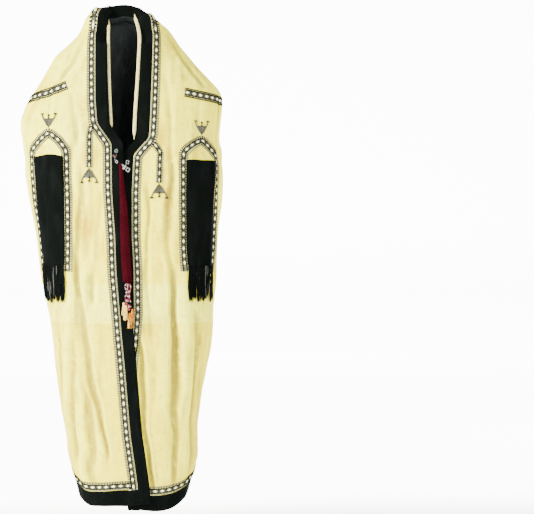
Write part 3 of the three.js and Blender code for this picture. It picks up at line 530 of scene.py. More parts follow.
class Nodes:
    """Builds a material's node tree with short calls."""

    def __init__(self, name, roughness=0.9, sheen=0.0, sheen_roughness=0.5, sheen_tint=None, specular=0.3):
        self.material = bpy.data.materials.new(name)
        self.material.use_nodes = True
        self.tree = self.material.node_tree
        self.shader = self.tree.nodes["Principled BSDF"]
        self.shader.inputs["Roughness"].default_value = roughness
        self.shader.inputs["Specular IOR Level"].default_value = specular
        self.shader.inputs["Sheen Weight"].default_value = sheen
        self.shader.inputs["Sheen Roughness"].default_value = sheen_roughness
        if sheen_tint:
            self.shader.inputs["Sheen Tint"].default_value = sheen_tint

    def node(self, kind, settings=None, **inputs):
        made = self.tree.nodes.new("ShaderNode" + kind)
        for key, value in (settings or {}).items():
            setattr(made, key, value)
        for key, value in inputs.items():
            socket = made.inputs[int(key[1:])] if key[1:].isdigit() else made.inputs[key.replace("_", " ")]
            self.put(socket, value)
        return made

    def put(self, socket, value):
        if isinstance(value, bpy.types.NodeSocket):
            self.tree.links.new(value, socket)
        elif isinstance(value, bpy.types.Node):
            self.tree.links.new(value.outputs[0], socket)
        else:
            socket.default_value = value

    def math(self, operation, a, b=0.0, c=0.0, clamp=False):
        return self.node("Math", {"operation": operation, "use_clamp": clamp}, _0=a, _1=b, _2=c)

    def times(self, a, b):
        return self.math("MULTIPLY", a, b)

    def axis(self, vector, index):
        return self.node("SeparateXYZ", None, Vector=vector).outputs[index]

    def reach(self, vector, centre, size):
        """Distance from a centre, as a share of these radii."""
        gap = self.node("VectorMath", {"operation": "SUBTRACT"}, _0=vector, _1=centre)
        shares = self.scaled(gap, *(1 / v for v in size))
        return self.node("VectorMath", {"operation": "LENGTH"}, _0=shares).outputs["Value"]

    def mix(self, factor, a, b, blend="MIX"):
        made = self.node("Mix", {"data_type": "RGBA", "blend_type": blend})
        for index, value in ((0, factor), (6, a), (7, b)):
            self.put(made.inputs[index], value)
        return made.outputs[2]

    def noise(self, vector, scale, detail=3.0, roughness=0.55):
        return self.node("TexNoise", None, Vector=vector, Scale=scale, Detail=detail, Roughness=roughness)

    def ramp(self, value, low, high):
        return self.node("MapRange", {"interpolation_type": "SMOOTHSTEP"}, Value=value, From_Min=low, From_Max=high)

    def scaled(self, vector, x, y, z):
        return self.node("VectorMath", {"operation": "MULTIPLY"}, _0=vector, _1=(x, y, z))

    def place(self):
        return self.node("NewGeometry").outputs["Position"]

    def flat(self):
        return self.node("UVMap", {"uv_map": "cloth"}).outputs["UV"]

    def weave(self, pitch, strength, distance, extra=None):
        """A plain weave in cloth coordinates, pitch threads to the metre, as bump."""
        parts = self.node("SeparateXYZ", None, Vector=self.flat()).outputs
        wobble = self.times(self.noise(self.flat(), 60.0, 2.0), 0.0016)

        def ridges(part):
            turned = self.times(self.math("ADD", part, wobble), pitch * math.pi)
            return self.math("ABSOLUTE", self.math("SINE", turned))

        height = self.math("MAXIMUM", ridges(parts[0]), ridges(parts[1]))
        if extra is not None:
            height = self.math("ADD", height, extra)
        bump = self.node("Bump", None, Strength=strength, Distance=distance, Height=height)
        self.put(self.shader.inputs["Normal"], bump.outputs[0])
        return height

    def done(self, colour):
        self.put(self.shader.inputs["Base Color"], colour)
        return self.material


# Painted shade on the flanks, where the cloth turns away from the light, and old stains of the front: centre and radii,
# in metres.
PAINTED_FLANK_SHADE = [((0.205, -0.03, -1.13), (0.050, 0.10, 0.30)), ((-0.165, -0.03, -1.20), (0.045, 0.10, 0.22)),
          ((0.235, -0.02, -0.80), (0.022, 0.10, 0.30)), ((-0.25, -0.02, -0.60), (0.020, 0.10, 0.30))]
STAINS = [((-0.114, -0.16, -0.575), (0.045, 0.10, 0.12)), ((0.118, -0.15, -0.50), (0.024, 0.10, 0.17)),
          ((-0.085, -0.15, -1.05), (0.030, 0.10, 0.13)), ((0.10, -0.10, -0.33), (0.03, 0.08, 0.06))]


def cotton(name, base, pale, stain, low, shade_and_yarn_tone, back=0.0):
    """Handwoven cotton: base, pale and stained tones, the tone below the lower join, and the tone of painted shade in
    folds, on the flanks and on the back, also used for darker runs of yarn.
    """
    m = Nodes(name, roughness=0.95, sheen=0.02, sheen_roughness=0.6, specular=0.03, sheen_tint=(1, 0.85, 0.3, 1))
    p = m.place()
    patches = m.ramp(m.noise(m.scaled(p, 3.2, 3.2, 1.6), 1.0, 4.0), 0.40, 0.68)
    colour = m.mix(patches, base, pale)
    height = m.axis(p, 2)
    # Two joins across the cloth: paler between them, yellower below the lower one.
    uneven = m.times(m.math("SUBTRACT", m.noise(m.scaled(p, 2.5, 2.5, 0.0), 1.0, 2.0), 0.5), 0.02)
    height = m.math("ADD", height, uneven)
    lower = m.ramp(height, -0.846, -0.852)
    between = m.math("SUBTRACT", m.ramp(height, -0.738, -0.744), lower)
    colour = m.mix(m.times(lower, 0.75), colour, low)
    colour = m.mix(between, colour, pale)
    blots = m.ramp(m.noise(m.scaled(p, 9.0, 9.0, 5.0), 1.0, 5.0, 0.6), 0.50, 0.72)
    streaks = m.ramp(m.noise(m.scaled(p, 30.0, 30.0, 2.2), 1.0, 3.0), 0.52, 0.74)
    patchy = m.ramp(m.noise(m.scaled(p, 5.0, 5.0, 3.0), 1.0, 2.0), 0.42, 0.62)
    marks = m.math("MAXIMUM", m.times(blots, 0.74), m.times(m.times(streaks, patchy), 0.92))
    for centre, size in STAINS:
        reach = m.reach(p, centre, size)
        uneven = m.math("ADD", reach, m.times(m.noise(m.scaled(p, 24.0, 24.0, 9.0), 1.0, 4.0), 0.9))
        marks = m.math("MAXIMUM", marks, m.times(m.ramp(uneven, 1.6, 0.5), 0.88))
    colour = m.mix(marks, colour, stain)
    # Painted shade: darker on the flanks, and on the back by the share back, where less light falls.
    painted_shade = 0.0
    for centre, size in PAINTED_FLANK_SHADE:
        reach = m.reach(p, centre, size)
        painted_shade = m.math("MAXIMUM", painted_shade, m.ramp(reach, 1.3, 0.3))
    behind = m.ramp(m.axis(p, 1), 0.015, 0.085)
    painted_shade = m.math("MAXIMUM", m.times(painted_shade, 0.34), m.times(behind, back))
    colour = m.mix(painted_shade, colour, shade_and_yarn_tone)
    # Painted shade in the hollows of folds and creases, from the relief stored with the mesh.
    relief = m.axis(m.node("UVMap", {"uv_map": "relief"}).outputs["UV"], 0)
    folded = m.math("ADD", m.times(m.ramp(relief, -0.01, -0.34), 0.70),
                    m.times(m.ramp(relief, -0.15, -1.10), 0.28))
    colour = m.mix(folded, colour, shade_and_yarn_tone)
    # Painted shade, darker still, in deep creases on the back.
    deep = m.times(m.times(m.ramp(relief, -0.25, -0.65), 0.8), behind)
    colour = m.mix(deep, colour, (0.085, 0.075, 0.020, 1))
    # Painted highlight: paler cloth on the ridges of folds.
    colour = m.mix(m.times(m.ramp(relief, 0.05, 0.35), 0.6), colour, pale)
    slubs = m.noise(m.scaled(m.flat(), 55.0, 900.0, 1.0), 1.0, 2.0)
    slubs_up = m.noise(m.scaled(m.flat(), 900.0, 40.0, 1.0), 1.0, 2.0)
    threads = m.math("ADD", slubs, slubs_up)
    colour = m.mix(m.times(m.ramp(threads, 0.75, 1.3), 0.15), colour, pale)
    # Uneven handspun yarn: longer and darker runs of thread, across and down.
    runs = [m.noise(m.scaled(m.flat(), x, y, 1.0), 1.0, 3.0) for x, y in ((16.0, 330.0), (330.0, 12.0))]
    runs = m.math("MAXIMUM", *runs)
    colour = m.mix(m.times(m.ramp(runs, 0.56, 0.76), 0.42), colour, shade_and_yarn_tone)
    mottled = m.noise(m.scaled(p, 70.0, 70.0, 46.0), 1.0, 5.0, 0.65)
    colour = m.mix(m.times(m.ramp(mottled, 0.50, 0.72), 0.34), colour, stain)
    colour = m.mix(m.times(m.ramp(mottled, 0.48, 0.30), 0.40), colour, pale)
    wrinkles = m.noise(m.scaled(p, 60.0, 60.0, 22.0), 1.0, 4.0)
    m.weave(1500.0, 0.35, 0.0004, m.math("ADD", m.times(threads, 0.8), m.times(wrinkles, 3.0)))
    return m.done(colour)


def dark(name, base, light, pitch, sheen, roughness=0.85):
    m = Nodes(name, roughness=roughness, sheen=sheen, sheen_roughness=0.35, specular=0.02,
              sheen_tint=(0.5, 0.6, 0.58, 1))
    p = m.place()
    worn = m.ramp(m.noise(m.scaled(p, 30.0, 30.0, 12.0), 1.0, 4.0), 0.45, 0.75)
    fine = m.noise(m.scaled(m.flat(), 420.0, 900.0, 1.0), 1.0, 2.0)
    colour = m.mix(m.times(worn, m.ramp(fine, 0.3, 0.7)), base, light)
    m.weave(pitch, 0.5, 0.0005, m.times(worn, 1.2))
    return m.done(colour)


def thread(name, base, other, roughness=0.55, sheen=0.1, specular=0.15):
    m = Nodes(name, roughness=roughness, sheen=sheen, specular=specular)
    p = m.place()
    tone = m.noise(p, 260.0, 2.0)
    wave = m.noise(m.scaled(p, 2600.0, 2600.0, 2600.0), 1.0, 1.0)
    bump = m.node("Bump", None, Strength=0.4, Distance=0.0003, Height=wave.outputs[0])
    m.put(m.shader.inputs["Normal"], bump.outputs[0])
    return m.done(m.mix(m.ramp(tone, 0.35, 0.7), base, other))


def glass(name, base, other, roughness=0.22):
    m = Nodes(name, roughness=roughness, specular=0.3)
    return m.done(m.mix(m.ramp(m.noise(m.place(), 420.0, 1.0), 0.4, 0.65), base, other))


# The fifth colour is the tone of painted shade, also used for darker yarn runs; back=0.42 paints the back darker.
CREAM = cotton("cotton", (0.93, 0.79, 0.003, 1), (0.98, 0.95, 0.08, 1), (0.46, 0.26, 0.002, 1), (0.88, 0.71, 0.002, 1),
               (0.30, 0.25, 0.025, 1), back=0.42)
CREAM_SLEEVE = cotton("sleeve_cotton", (0.94, 0.83, 0.03, 1), (0.97, 0.94, 0.16, 1), (0.66, 0.46, 0.01, 1),
                      (0.92, 0.80, 0.02, 1), (0.46, 0.38, 0.05, 1))
BLACK = dark("black_velvet", (0.0015, 0.0022, 0.0017, 1), (0.0046, 0.0056, 0.0050, 1), 900.0, 0.016)
LINING = dark("inner_cloth", (0.024, 0.028, 0.027, 1), (0.055, 0.060, 0.062, 1), 1100.0, 0.01, 0.95)
THREAD_CREAM = thread("cream_thread", (0.93, 0.90, 0.30, 1), (0.95, 0.94, 0.62, 1), 0.7)
THREAD_BLACK = thread("black_thread", (0.0035, 0.0045, 0.0035, 1), (0.010, 0.011, 0.009, 1), 0.8, 0.0, 0.02)
THREAD_GREY = thread("grey_thread", (0.052, 0.053, 0.036, 1), (0.105, 0.105, 0.066, 1), 0.8, 0.0, 0.04)
BRAID_GROUND = thread("braid_ground", (0.060, 0.060, 0.042, 1), (0.15, 0.15, 0.09, 1), 0.85, 0.0, 0.05)
TICK_GROUND = thread("tick_ground", (0.46, 0.42, 0.14, 1), (0.66, 0.62, 0.26, 1), 0.9, 0.0, 0.05)
RIBBON_CREAM = thread("cream_ribbon", (0.50, 0.43, 0.16, 1), (0.80, 0.74, 0.30, 1), 0.8, 0.0, 0.1)
CRIMSON = thread("crimson_tape", (0.015, 0.0004, 0.0015, 1), (0.030, 0.0008, 0.0028, 1), 0.7, 0.0, 0.02)
KNOT_RED = thread("knot_red", (0.090, 0.0015, 0.0035, 1), (0.19, 0.005, 0.009, 1), 0.75, 0.0, 0.03)
ORANGE = thread("orange_silk", (0.28, 0.075, 0.0006, 1), (0.44, 0.16, 0.001, 1), 0.8, 0.0, 0.04)
SILK_CREAM = thread("cream_silk", (0.58, 0.38, 0.06, 1), (0.80, 0.64, 0.16, 1), 0.8, 0.02, 0.05)
SILVER = thread("silver_thread", (0.050, 0.053, 0.046, 1), (0.110, 0.112, 0.090, 1), 0.7, 0.0, 0.1)
BEAD_PINK = glass("pink_glass", (0.20, 0.030, 0.042, 1), (0.34, 0.095, 0.105, 1))
BEAD_WHITE = glass("white_glass", (0.24, 0.235, 0.20, 1), (0.48, 0.47, 0.41, 1))
BEAD_GREY = glass("grey_glass", (0.040, 0.050, 0.042, 1), (0.09, 0.105, 0.09, 1))
BEAD_RED = glass("red_glass", (0.080, 0.003, 0.008, 1), (0.14, 0.008, 0.02, 1))
BEAD_BLACK = glass("black_glass", (0.003, 0.003, 0.0035, 1), (0.009, 0.009, 0.011, 1))
BEAD_GREEN = glass("green_glass", (0.035, 0.095, 0.060, 1), (0.12, 0.21, 0.14, 1))
BEAD_BROWN = glass("brown_glass", (0.040, 0.020, 0.015, 1), (0.085, 0.048, 0.038, 1))
BEADS = [BEAD_PINK, BEAD_WHITE, BEAD_GREY, BEAD_RED, BEAD_BLACK, BEAD_GREEN, BEAD_BROWN]
THREAD_OLIVE = thread("olive_thread", (0.022, 0.021, 0.012, 1), (0.050, 0.048, 0.026, 1), 0.8, 0.0, 0.04)
THREAD_LADDER = thread("ladder_thread", (0.36, 0.35, 0.18, 1), (0.62, 0.60, 0.32, 1), 0.85, 0.0, 0.05)
THREADS = [BRAID_GROUND, THREAD_CREAM, THREAD_BLACK, THREAD_GREY, TICK_GROUND, THREAD_OLIVE, THREAD_LADDER]
GROUND, CREAM_T, BLACK_T, GREY_T, TICKS, OLIVE, LADDER = range(7)


# ---------- body panels ----------

def seam_arc(side, level):
    return (np.maximum(0, edge_arc(side, level)) + half(side, level)) / 2


def vent_gap(level):
    level = np.asarray(level, float)
    return 2.5 * smooth((-930 - level) / 60) + 11 * smooth((-990 - level) / 300)


def front_span(side, level):
    return edge_arc(side, level), seam_arc(side, level) - 0.15


def lapped_front_span(side, level):
    """The front hem starts a little under the border."""
    return edge_arc(side, level) - 1.8, seam_arc(side, level) - 0.15


def back_span(side, level):
    shift = side * -18 * smooth((-np.asarray(level, float) - 500) / 500)
    lap = 1.4 * (side > 0) * smooth((np.asarray(level, float) + 90) / 50)
    return seam_arc(side, level) + 0.15, half(side, level) - 0.02 + lap - vent_gap(level) - shift


def lining_span(side, level):
    """The lining's two halves meet edge to edge in the middle of the back."""
    start, end = back_span(side, level)
    return start, end + 0.15 + 3.0 * (side > 0)


CUTS = {}


def cut_size(grid):
    """Greatest width and length of a grid of points, and its area, in metres."""
    across, along = np.diff(grid, axis=1), np.diff(grid, axis=0)
    wide = np.linalg.norm(across, axis=2).sum(1).max()
    tall = np.linalg.norm(along, axis=2).sum(0).max()
    diagonals = np.cross(grid[1:, 1:] - grid[:-1, :-1], grid[1:, :-1] - grid[:-1, 1:])
    return wide * MM, tall * MM, np.linalg.norm(diagonals, axis=2).sum() / 2 * MM * MM


def panel(name, side, span, levels, columns, out, thick, materials, replaces=(), kind="folded", inner=None,
          wave=0.0, ripple=0.0):
    share = np.linspace(0, 1, columns + 1)
    start, end = span(side, levels)
    arc = start[:, None] + (end - start)[:, None] * share
    level = np.repeat(levels[:, None], columns + 1, 1)
    CUTS[name] = cut_size(place(side, arc, level, out, "plain"))
    if wave:
        level = level + wave * np.sin(arc / 31 + side) * smooth((HEM_LEVEL - level) / HEM_DEPTH)
    if ripple:
        from_middle = half(side, level) - arc
        swell = np.sin(from_middle / 7.5 + 0.9 * np.sin(level / 150) + side) * np.cos(from_middle / 19 + level / 400)
        out = out - ripple * smooth((-level - 8) / 60) * (1 + swell)
    shape = Shape()
    add_sheet(shape, place(side, arc, level, out, kind), place(side, arc, level, out - thick, kind),
              np.concatenate([arc[..., None], level[..., None], spread(RELIEF[side], arc, level)], -1),
              0, 1 if inner else None, 1 if inner else None)
    return shape.build(name, materials, replaces)


BODY_LEVELS = levels_between(0, HEM_LEVEL, 6.0)
fronts, backs = {}, {}
for side in SIDES:
    n = NAME[side]
    fronts[side] = panel("front_cloth_" + n, side, front_span, BODY_LEVELS, 90, 0, WALL, [CREAM, LINING],
                         ["front_" + n], inner=True)
    backs[side] = panel("back_cloth_" + n, side, back_span, BODY_LEVELS, 72, 0, WALL, [CREAM, LINING],
                        ["back_" + n], inner=True)
    panel("lining_cloth_" + n, side, lining_span, levels_between(-3, -1312, 12), 96, -LINING_GAP - 2, 1.2, [LINING],
          ["lining_" + n], kind="plain", ripple=3.0)
HEM_LEVELS = np.linspace(HEM_LEVEL - 0.3, HEM_LEVEL - HEM_DEPTH, 9)
hems = {}
for side in SIDES:
    for part, span in (("front", lapped_front_span), ("back", back_span)):
        n = "%s_%s" % (part, NAME[side])
        hems[part, side] = panel("hem_cloth_" + n, side, span, HEM_LEVELS, 60, 0, WALL + 0.2, [BLACK],
                                 ["hem_" + n], wave=2.6)


# ---------- black borders ----------

CROWN_TOP, CROWN_REACH, CROWN_WIDTH = 50.0, 78.0, 36.0


def inward_from(side):
    d = np.array([-0.9 * side, 0.2, -0.25])
    return d / np.linalg.norm(d)


def crown_direction(point):
    """Inward at the corners of the opening, standing up in the middle, so that the free edge is a low arch."""
    top = CROWN_TOP - (2 if point[0] < 0 else 13) * (point[0] / CROWN_REACH) ** 2
    up = float(np.clip((top - point[2]) / CROWN_WIDTH, 0.18, 0.97))
    share = float(smooth(up / 0.97))
    flat = np.array([-np.sign(point[0]) * (1 - share), 0.2 * (1 - share) - share])
    flat *= math.sqrt(1 - up * up) / np.linalg.norm(flat)
    return np.array([flat[0], flat[1], up])


def border_rows(starts, directions, tangents, shares):
    outer, inner = [], []
    for start, d, along in zip(starts, directions, tangents):
        row = start + d * (shares * BORDER_WIDTH)[:, None]
        back = np.cross(along, d)
        outer.append(row)
        inner.append(row + back / np.linalg.norm(back) * WALL)
    return outer, inner


def side_border(side):
    top = levels_between(0, -61, 4)
    shares = np.linspace(0.3 / BORDER_WIDTH, 1, 9)
    starts = np.array([place(side, edge_arc(side, z), z, 0.0) for z in top])
    tangents = np.gradient(starts, axis=0) * side
    blend = smooth((-61 - 14 - top) / -14)[:, None]
    inward = np.array([inward_from(side)] * len(top))
    laid = np.array([place(side, edge_arc(side, z) - BORDER_WIDTH, z, 0.0) for z in top]) - starts
    laid /= np.linalg.norm(laid, axis=1, keepdims=True)
    inward = inward * blend + laid * (1 - blend)
    outer, inner = border_rows(starts, inward / np.linalg.norm(inward, axis=1, keepdims=True), tangents, shares)
    low = np.concatenate([np.arange(-67, HEM_LEVEL - HEM_DEPTH + 3, -6.5), [HEM_LEVEL - HEM_DEPTH]])
    for level in low:
        arc = edge_arc(side, level) - shares * BORDER_WIDTH
        belly = 0.8 * np.sin(np.pi * shares)
        outer.append(place(side, arc, np.full(9, level), belly))
        inner.append(place(side, arc, np.full(9, level), belly - WALL))
    levels = np.concatenate([top, low])
    edge = place(side, edge_arc(side, levels), levels, 0.0, "plain")
    tall = np.linalg.norm(np.diff(edge, axis=0), axis=1).sum() * MM
    CUTS["border_cloth_" + NAME[side]] = (BORDER_WIDTH * MM, tall, BORDER_WIDTH * MM * tall)
    shape = Shape()
    flat = np.stack(np.broadcast_arrays(shares[None] * BORDER_WIDTH, levels[:, None]), -1)
    add_sheet(shape, np.array(outer), np.array(inner), flat)
    return shape.build("border_cloth_" + NAME[side], [BLACK], ["border_" + NAME[side]])


def crown_arcs():
    """Side and arc round the back of the crown seam, from the -X corner to the +X corner."""
    left = [(-1, a) for a in np.linspace(edge_arc(-1, 0), half(-1, 0), 40)]
    right = [(1, a) for a in np.linspace(half(1, 0), edge_arc(1, 0), 40)]
    return left + right[1:]


def crown_border():
    arcs = crown_arcs()
    starts = np.array([place(s, a, 0.0, 0.0) for s, a in arcs])
    count = len(arcs)
    stops = starts + np.array([crown_direction(p) for p in starts]) * CROWN_WIDTH
    for side, order in ((-1, range(count)), (1, range(count - 1, -1, -1))):
        order = list(order)
        turned = next(i for i, k in enumerate(order) if starts[k][1] > 1)
        first = starts[order[0]] + inward_from(side) * BORDER_WIDTH
        for i, k in enumerate(order[:turned]):
            t = float(smooth(i / turned))
            stops[k] = first * (1 - t) + stops[order[turned]] * t
    taps = bell(np.arange(-9, 10) / 4.5)
    reach = stops - starts
    reach = np.stack([np.convolve(np.pad(reach[:, i], 9, "edge"), taps / taps.sum(), "valid") for i in range(3)], 1)
    stops = starts + reach
    height = np.convolve(np.pad(stops[:, 2], 9, "reflect", reflect_type="odd"), taps / taps.sum(), "valid")
    arch = 49.5 - np.where(stops[:, 0] < 0, 6.0, 18.0) * (stops[:, 0] / 58) ** 2
    stops[:, 2] = np.minimum(height, arch)
    shares = np.linspace(0.01, 1, 9)
    outer = starts[:, None] + (stops - starts)[:, None] * shares[:, None]
    CUTS["border_cloth_crown"] = cut_size(outer)
    outer[..., 1] += 2.0 * np.sin(np.pi * shares)
    inner = outer + np.array([0, 0.6, -0.8]) * WALL
    flat = np.stack(np.broadcast_arrays(shares[None] * BORDER_WIDTH, np.arange(count)[:, None] * 4.0), -1)
    shape = Shape()
    add_sheet(shape, outer, inner, flat)
    return shape.build("border_cloth_crown", [BLACK], ["border_crown"])


borders = {s: side_border(s) for s in SIDES}
borders[0] = crown_border()


# ---------- braid ----------

class Path:
    """A line on the cloth. Its map takes points given as distance along it, distance across it and height."""

    def __init__(self, side, points, back=False, across=1.0, soften=9.0, direct=False, kind="folded"):
        flat = np.array(points if direct else [[arc_of(side, x, z, back), z] for x, z in points], float)
        run = run_along(flat)
        self.length = run[-1]
        self.s = np.linspace(0, self.length, max(4, int(self.length / 3)))
        dense = np.stack([np.interp(self.s, run, flat[:, k]) for k in (0, 1)], 1)
        if soften:
            pad = 12
            before = dense[0] - (dense[1] - dense[0]) * np.arange(pad, 0, -1)[:, None]
            after = dense[-1] + (dense[-1] - dense[-2]) * np.arange(1, pad + 1)[:, None]
            full = np.concatenate([before, dense, after])
            taps = bell(np.arange(-pad, pad + 1) * 3.0 / soften)
            taps /= taps.sum()
            dense = np.stack([np.convolve(full[:, k], taps, "valid") for k in (0, 1)], 1)
        self.flat = dense
        along = np.gradient(dense, axis=0)
        along /= np.linalg.norm(along, axis=1, keepdims=True)
        self.normal = np.stack([-along[:, 1], along[:, 0]], 1) * across
        self.side, self.kind = side, kind

    def spot(self, local):
        """The two flat coordinates of points given as distance along the line and across it."""
        s, v = local[:, 0], local[:, 1]
        return (np.interp(s, self.s, self.flat[:, k]) + v * np.interp(s, self.s, self.normal[:, k]) for k in (0, 1))

    def map(self, local, lift=0.0):
        arc, level = self.spot(local)
        return place(self.side, arc, level, local[:, 2] + lift, self.kind)


BAR_FACES = np.array([[0, 1, 5, 4], [1, 2, 6, 5], [2, 3, 7, 6], [3, 0, 4, 7], [4, 5, 6, 7]])


def bar(along, across, height, lean=0.0):
    """A low padded stitch, as a template: along x across, leaning by lean along the path."""
    a, b = along / 2, across / 2
    low = [[-a - lean, -b, 0.1], [a - lean, -b, 0.1], [a + lean, b, 0.1], [-a + lean, b, 0.1]]
    high = [[-a * 0.8 - lean * 0.9, -b * 0.9, height], [a * 0.8 - lean * 0.9, -b * 0.9, height],
            [a * 0.8 + lean * 0.9, b * 0.9, height], [-a * 0.8 + lean * 0.9, b * 0.9, height]]
    return np.array(low + high)


def lozenge(length, width, height):
    points = np.array([[-length / 2, 0, 0.2], [0, -width / 2, 0.2], [length / 2, 0, 0.2], [0, width / 2, 0.2],
                       [-length / 5, 0, height], [length / 5, 0, height]])
    faces = np.array([[0, 1, 4, 4], [4, 1, 5, 5], [1, 2, 5, 5], [2, 3, 5, 5], [3, 4, 5, 5], [3, 0, 4, 4]])
    return points, faces[:, :3]


def beside(at, across=0.0):
    """Places along a path, all at one distance across it."""
    return np.stack([at, np.full(len(at), float(across))], 1)


def stamp(shape, mapping, template, faces, at, slot, lift=0.0):
    """Lays copies of a template at these (along, across) places."""
    at = np.asarray(at, float)
    if not len(at):
        return
    local = template[None] + np.concatenate([at, np.zeros((len(at), 1))], 1)[:, None]
    offsets = np.arange(len(at))[:, None, None] * len(template)
    shape.add(mapping(local.reshape(-1, 3), lift), (offsets + faces[None]).reshape(-1, faces.shape[1]), slot)


def ribbon(shape, mapping, start, end, profile, slot, lift=0.0, step=5.0):
    """A strip of constant profile, (across, height) points, from start to end along the path."""
    s = np.linspace(start, end, max(2, int((end - start) / step) + 1))
    profile = np.array(profile, float)
    local = np.array([[a, v, h] for a in s for v, h in profile])
    shape.add(mapping(local, lift), grid_faces(len(s), len(profile))[:, ::-1], slot)


def cord_line(shape, mapping, start, end, v, width=2.9, slot=BLACK_T, lift=0.0):
    w = width / 2
    ribbon(shape, mapping, start, end, [[v - w, 0.3], [v - w * 0.7, 1.7], [v + w * 0.7, 1.7], [v + w, 0.3]], slot, lift)


def braid(shape, mapping, length, low="ladder", high="ticks", lift=0.0, start=0.0, core=5.4, tick=7.5):
    """The chain of lozenges between two black cords, with a ladder or a row of ticks beside each cord."""
    ribbon(shape, mapping, start, length, [[-core, 0.5], [0, 0.6], [core, 0.5]], GROUND, lift)
    period = 20.0
    places = np.arange(start + 9, length - 6, period)
    points, faces = lozenge(12.6, core * 1.28, 1.5)
    stamp(shape, mapping, points, faces, beside(places), CREAM_T, lift + 0.4)
    between = places[:-1] + period / 2
    for shift in (-3.6, 0.0, 3.6):
        for lean in (-2.0, 2.0):
            stamp(shape, mapping, bar(1.1, core * 1.6, 1.1, lean), BAR_FACES, beside(between + shift),
                  GREY_T if shift else BLACK_T, lift + 0.4)
    for sign, kind in ((-1, low), (1, high)):
        edge = sign * core
        cord_line(shape, mapping, start, length, edge, lift=lift)
        if kind == "ticks":
            strip = sorted([[edge, 0.45], [edge + sign * tick * 0.5, 0.6], [edge + sign * (tick + 0.6), 0.25]])
            ribbon(shape, mapping, start, length, strip, TICKS, lift)
            at = np.arange(start + 2, length - 1, 4.5)
            stamp(shape, mapping, bar(2.5, tick, 1.3), BAR_FACES, beside(at, sign * (core + 0.8 + tick / 2)),
                  BLACK_T, lift + 0.2)
        if kind == "ladder":
            ribbon(shape, mapping, start, length, [[edge - 5.4, 0.2], [edge - 3, 0.7], [edge, 0.4]], LADDER, lift)
            at = np.arange(start + 1.5, length - 1, 4.2)
            stamp(shape, mapping, bar(2.1, 3.9, 1.3), BAR_FACES, beside(at, sign * (core + 2.9)), BLACK_T, lift + 0.3)


def motif(shape, side, x, level, width, height, up, path=None):
    """A hatched grey triangle that stands on its point, with a prong at each end of its base and one between."""
    if path is None:
        arc = arc_of(side, x, level)
        path = Path(side, [[arc, level], [arc, level + (height * 2 if up else -height * 2)]], soften=0, direct=True)
    body = 0.72 * height
    rows, columns = 11, 7
    t, u = np.linspace(0, 1, rows), np.linspace(-1, 1, columns)
    wide = width * 0.41 * t
    top = body * (1 - 0.10 * np.sin(np.pi * (u + 1)) ** 2)
    local = np.stack([t[:, None] * top[None], wide[:, None] * u[None], np.full((rows, columns), 0.9)], -1)
    shape.add(path.map(local.reshape(-1, 3), 0.5), grid_faces(rows, columns), GREY_T)
    for v in (-1, 1):
        stem = np.array([[body * 0.25, v * width * 0.10], [body, v * width * 0.40], [height * 0.95, v * width * 0.47]])
        line = np.array([[np.interp(q, [0, 0.7, 1], stem[:, 0]), np.interp(q, [0, 0.7, 1], stem[:, 1]), 1.3]
                         for q in np.linspace(0, 1, 9)])
        add_tube(shape, path.map(line, 0.5), width * 0.042, 5, GREY_T)
        head = np.array([[height * 0.97, v * width * 0.44 + w, 1.6] for w in (-width * 0.10, 0, width * 0.10)])
        add_tube(shape, path.map(head, 0.5), width * 0.046, 6, OLIVE)
    middle = path.map(np.array([[height * 0.88, 0, 1.2], [height * 0.80, 0, 1.2]]), 0.5)
    add_bead(shape, middle[0], width * 0.075, OLIVE)
    add_tube(shape, path.map(np.array([[body * 0.8, 0, 1.2], [height * 0.88, 0, 1.2]]), 0.5), width * 0.04, 5, OLIVE)
    for k in range(1, 8):
        q = k / 8
        slot = OLIVE if k % 2 else GREY_T
        stamp(shape, path.map, bar(0.8, width * 0.74 * q, 1.3), BAR_FACES, [[body * q * 0.93, 0]], slot, 0.7)


def braid_piece(name, draw):
    """A piece of thread work, which stands for the node named braid instead of thread."""
    shape = Shape()
    draw(shape)
    return shape.build(name, THREADS, [name.replace("thread", "braid")])


EDGE_CENTRE = 11.0
trims = {key: [] for key in ("front-1", "front1", "back-1", "back1", "sleeve-1", "sleeve1")}


def edge_braid(side):
    levels = np.concatenate([np.arange(0, -60, -3), np.arange(-60, HEM_LEVEL, -6), [HEM_LEVEL]])
    path = Path(side, np.stack([edge_arc(side, levels), levels], 1), direct=True, soften=6)

    def draw(shape):
        shift = lambda local, lift=0.0: path.map(local + np.array([0, EDGE_CENTRE, 0]), lift)
        braid(shape, shift, path.length)
    return braid_piece("edge_thread_" + NAME[side], draw)


def depth_level(v):
    """The level this far down the cloth from the crown seam, measured on the back."""
    points = GRID[1, "plain"][0]
    column = np.array([points[i, int(np.searchsorted(ARCS, HALF[1][i] * 0.85))] for i in range(160)])
    run = run_along(column)
    return np.interp(v, run, ROWS[:160])


CORNER = 22.0


def crown_braid(shape):
    arcs = crown_arcs()
    for s in SIDES:
        own = np.array([a for t, a in arcs if t == s])
        low, high = own.min(), own.max()

        def mapping(local, lift=0.0, s=s, length=high - low):
            level = depth_level(np.maximum(0, local[:, 1] + EDGE_CENTRE))
            share = local[:, 0] / length
            return place(s, edge_arc(s, level) * (1 - share) + half(s, level) * share, level, local[:, 2] + lift)
        braid(shape, mapping, high - low, start=CORNER)


def hem_braid(side, part):
    lowest = HEM_LEVEL + 0.6
    start, end = (front_span if part == "front" else back_span)(side, np.array([lowest]))
    start, end = float(start[0]) + (18 if part == "front" else 0), float(end[0])

    def draw(shape):
        def mapping(local, lift=0.0):
            return place(side, start + local[:, 0], lowest + EDGE_CENTRE + local[:, 1], local[:, 2] + lift)
        braid(shape, mapping, end - start)
    return braid_piece("hem_thread_%s_%s" % (part, NAME[side]), draw)


for side in SIDES:
    trims["front%d" % side] += [edge_braid(side), hem_braid(side, "front")]
    trims["back%d" % side].append(hem_braid(side, "back"))
trims["back1"].append(braid_piece("crown_thread", crown_braid))

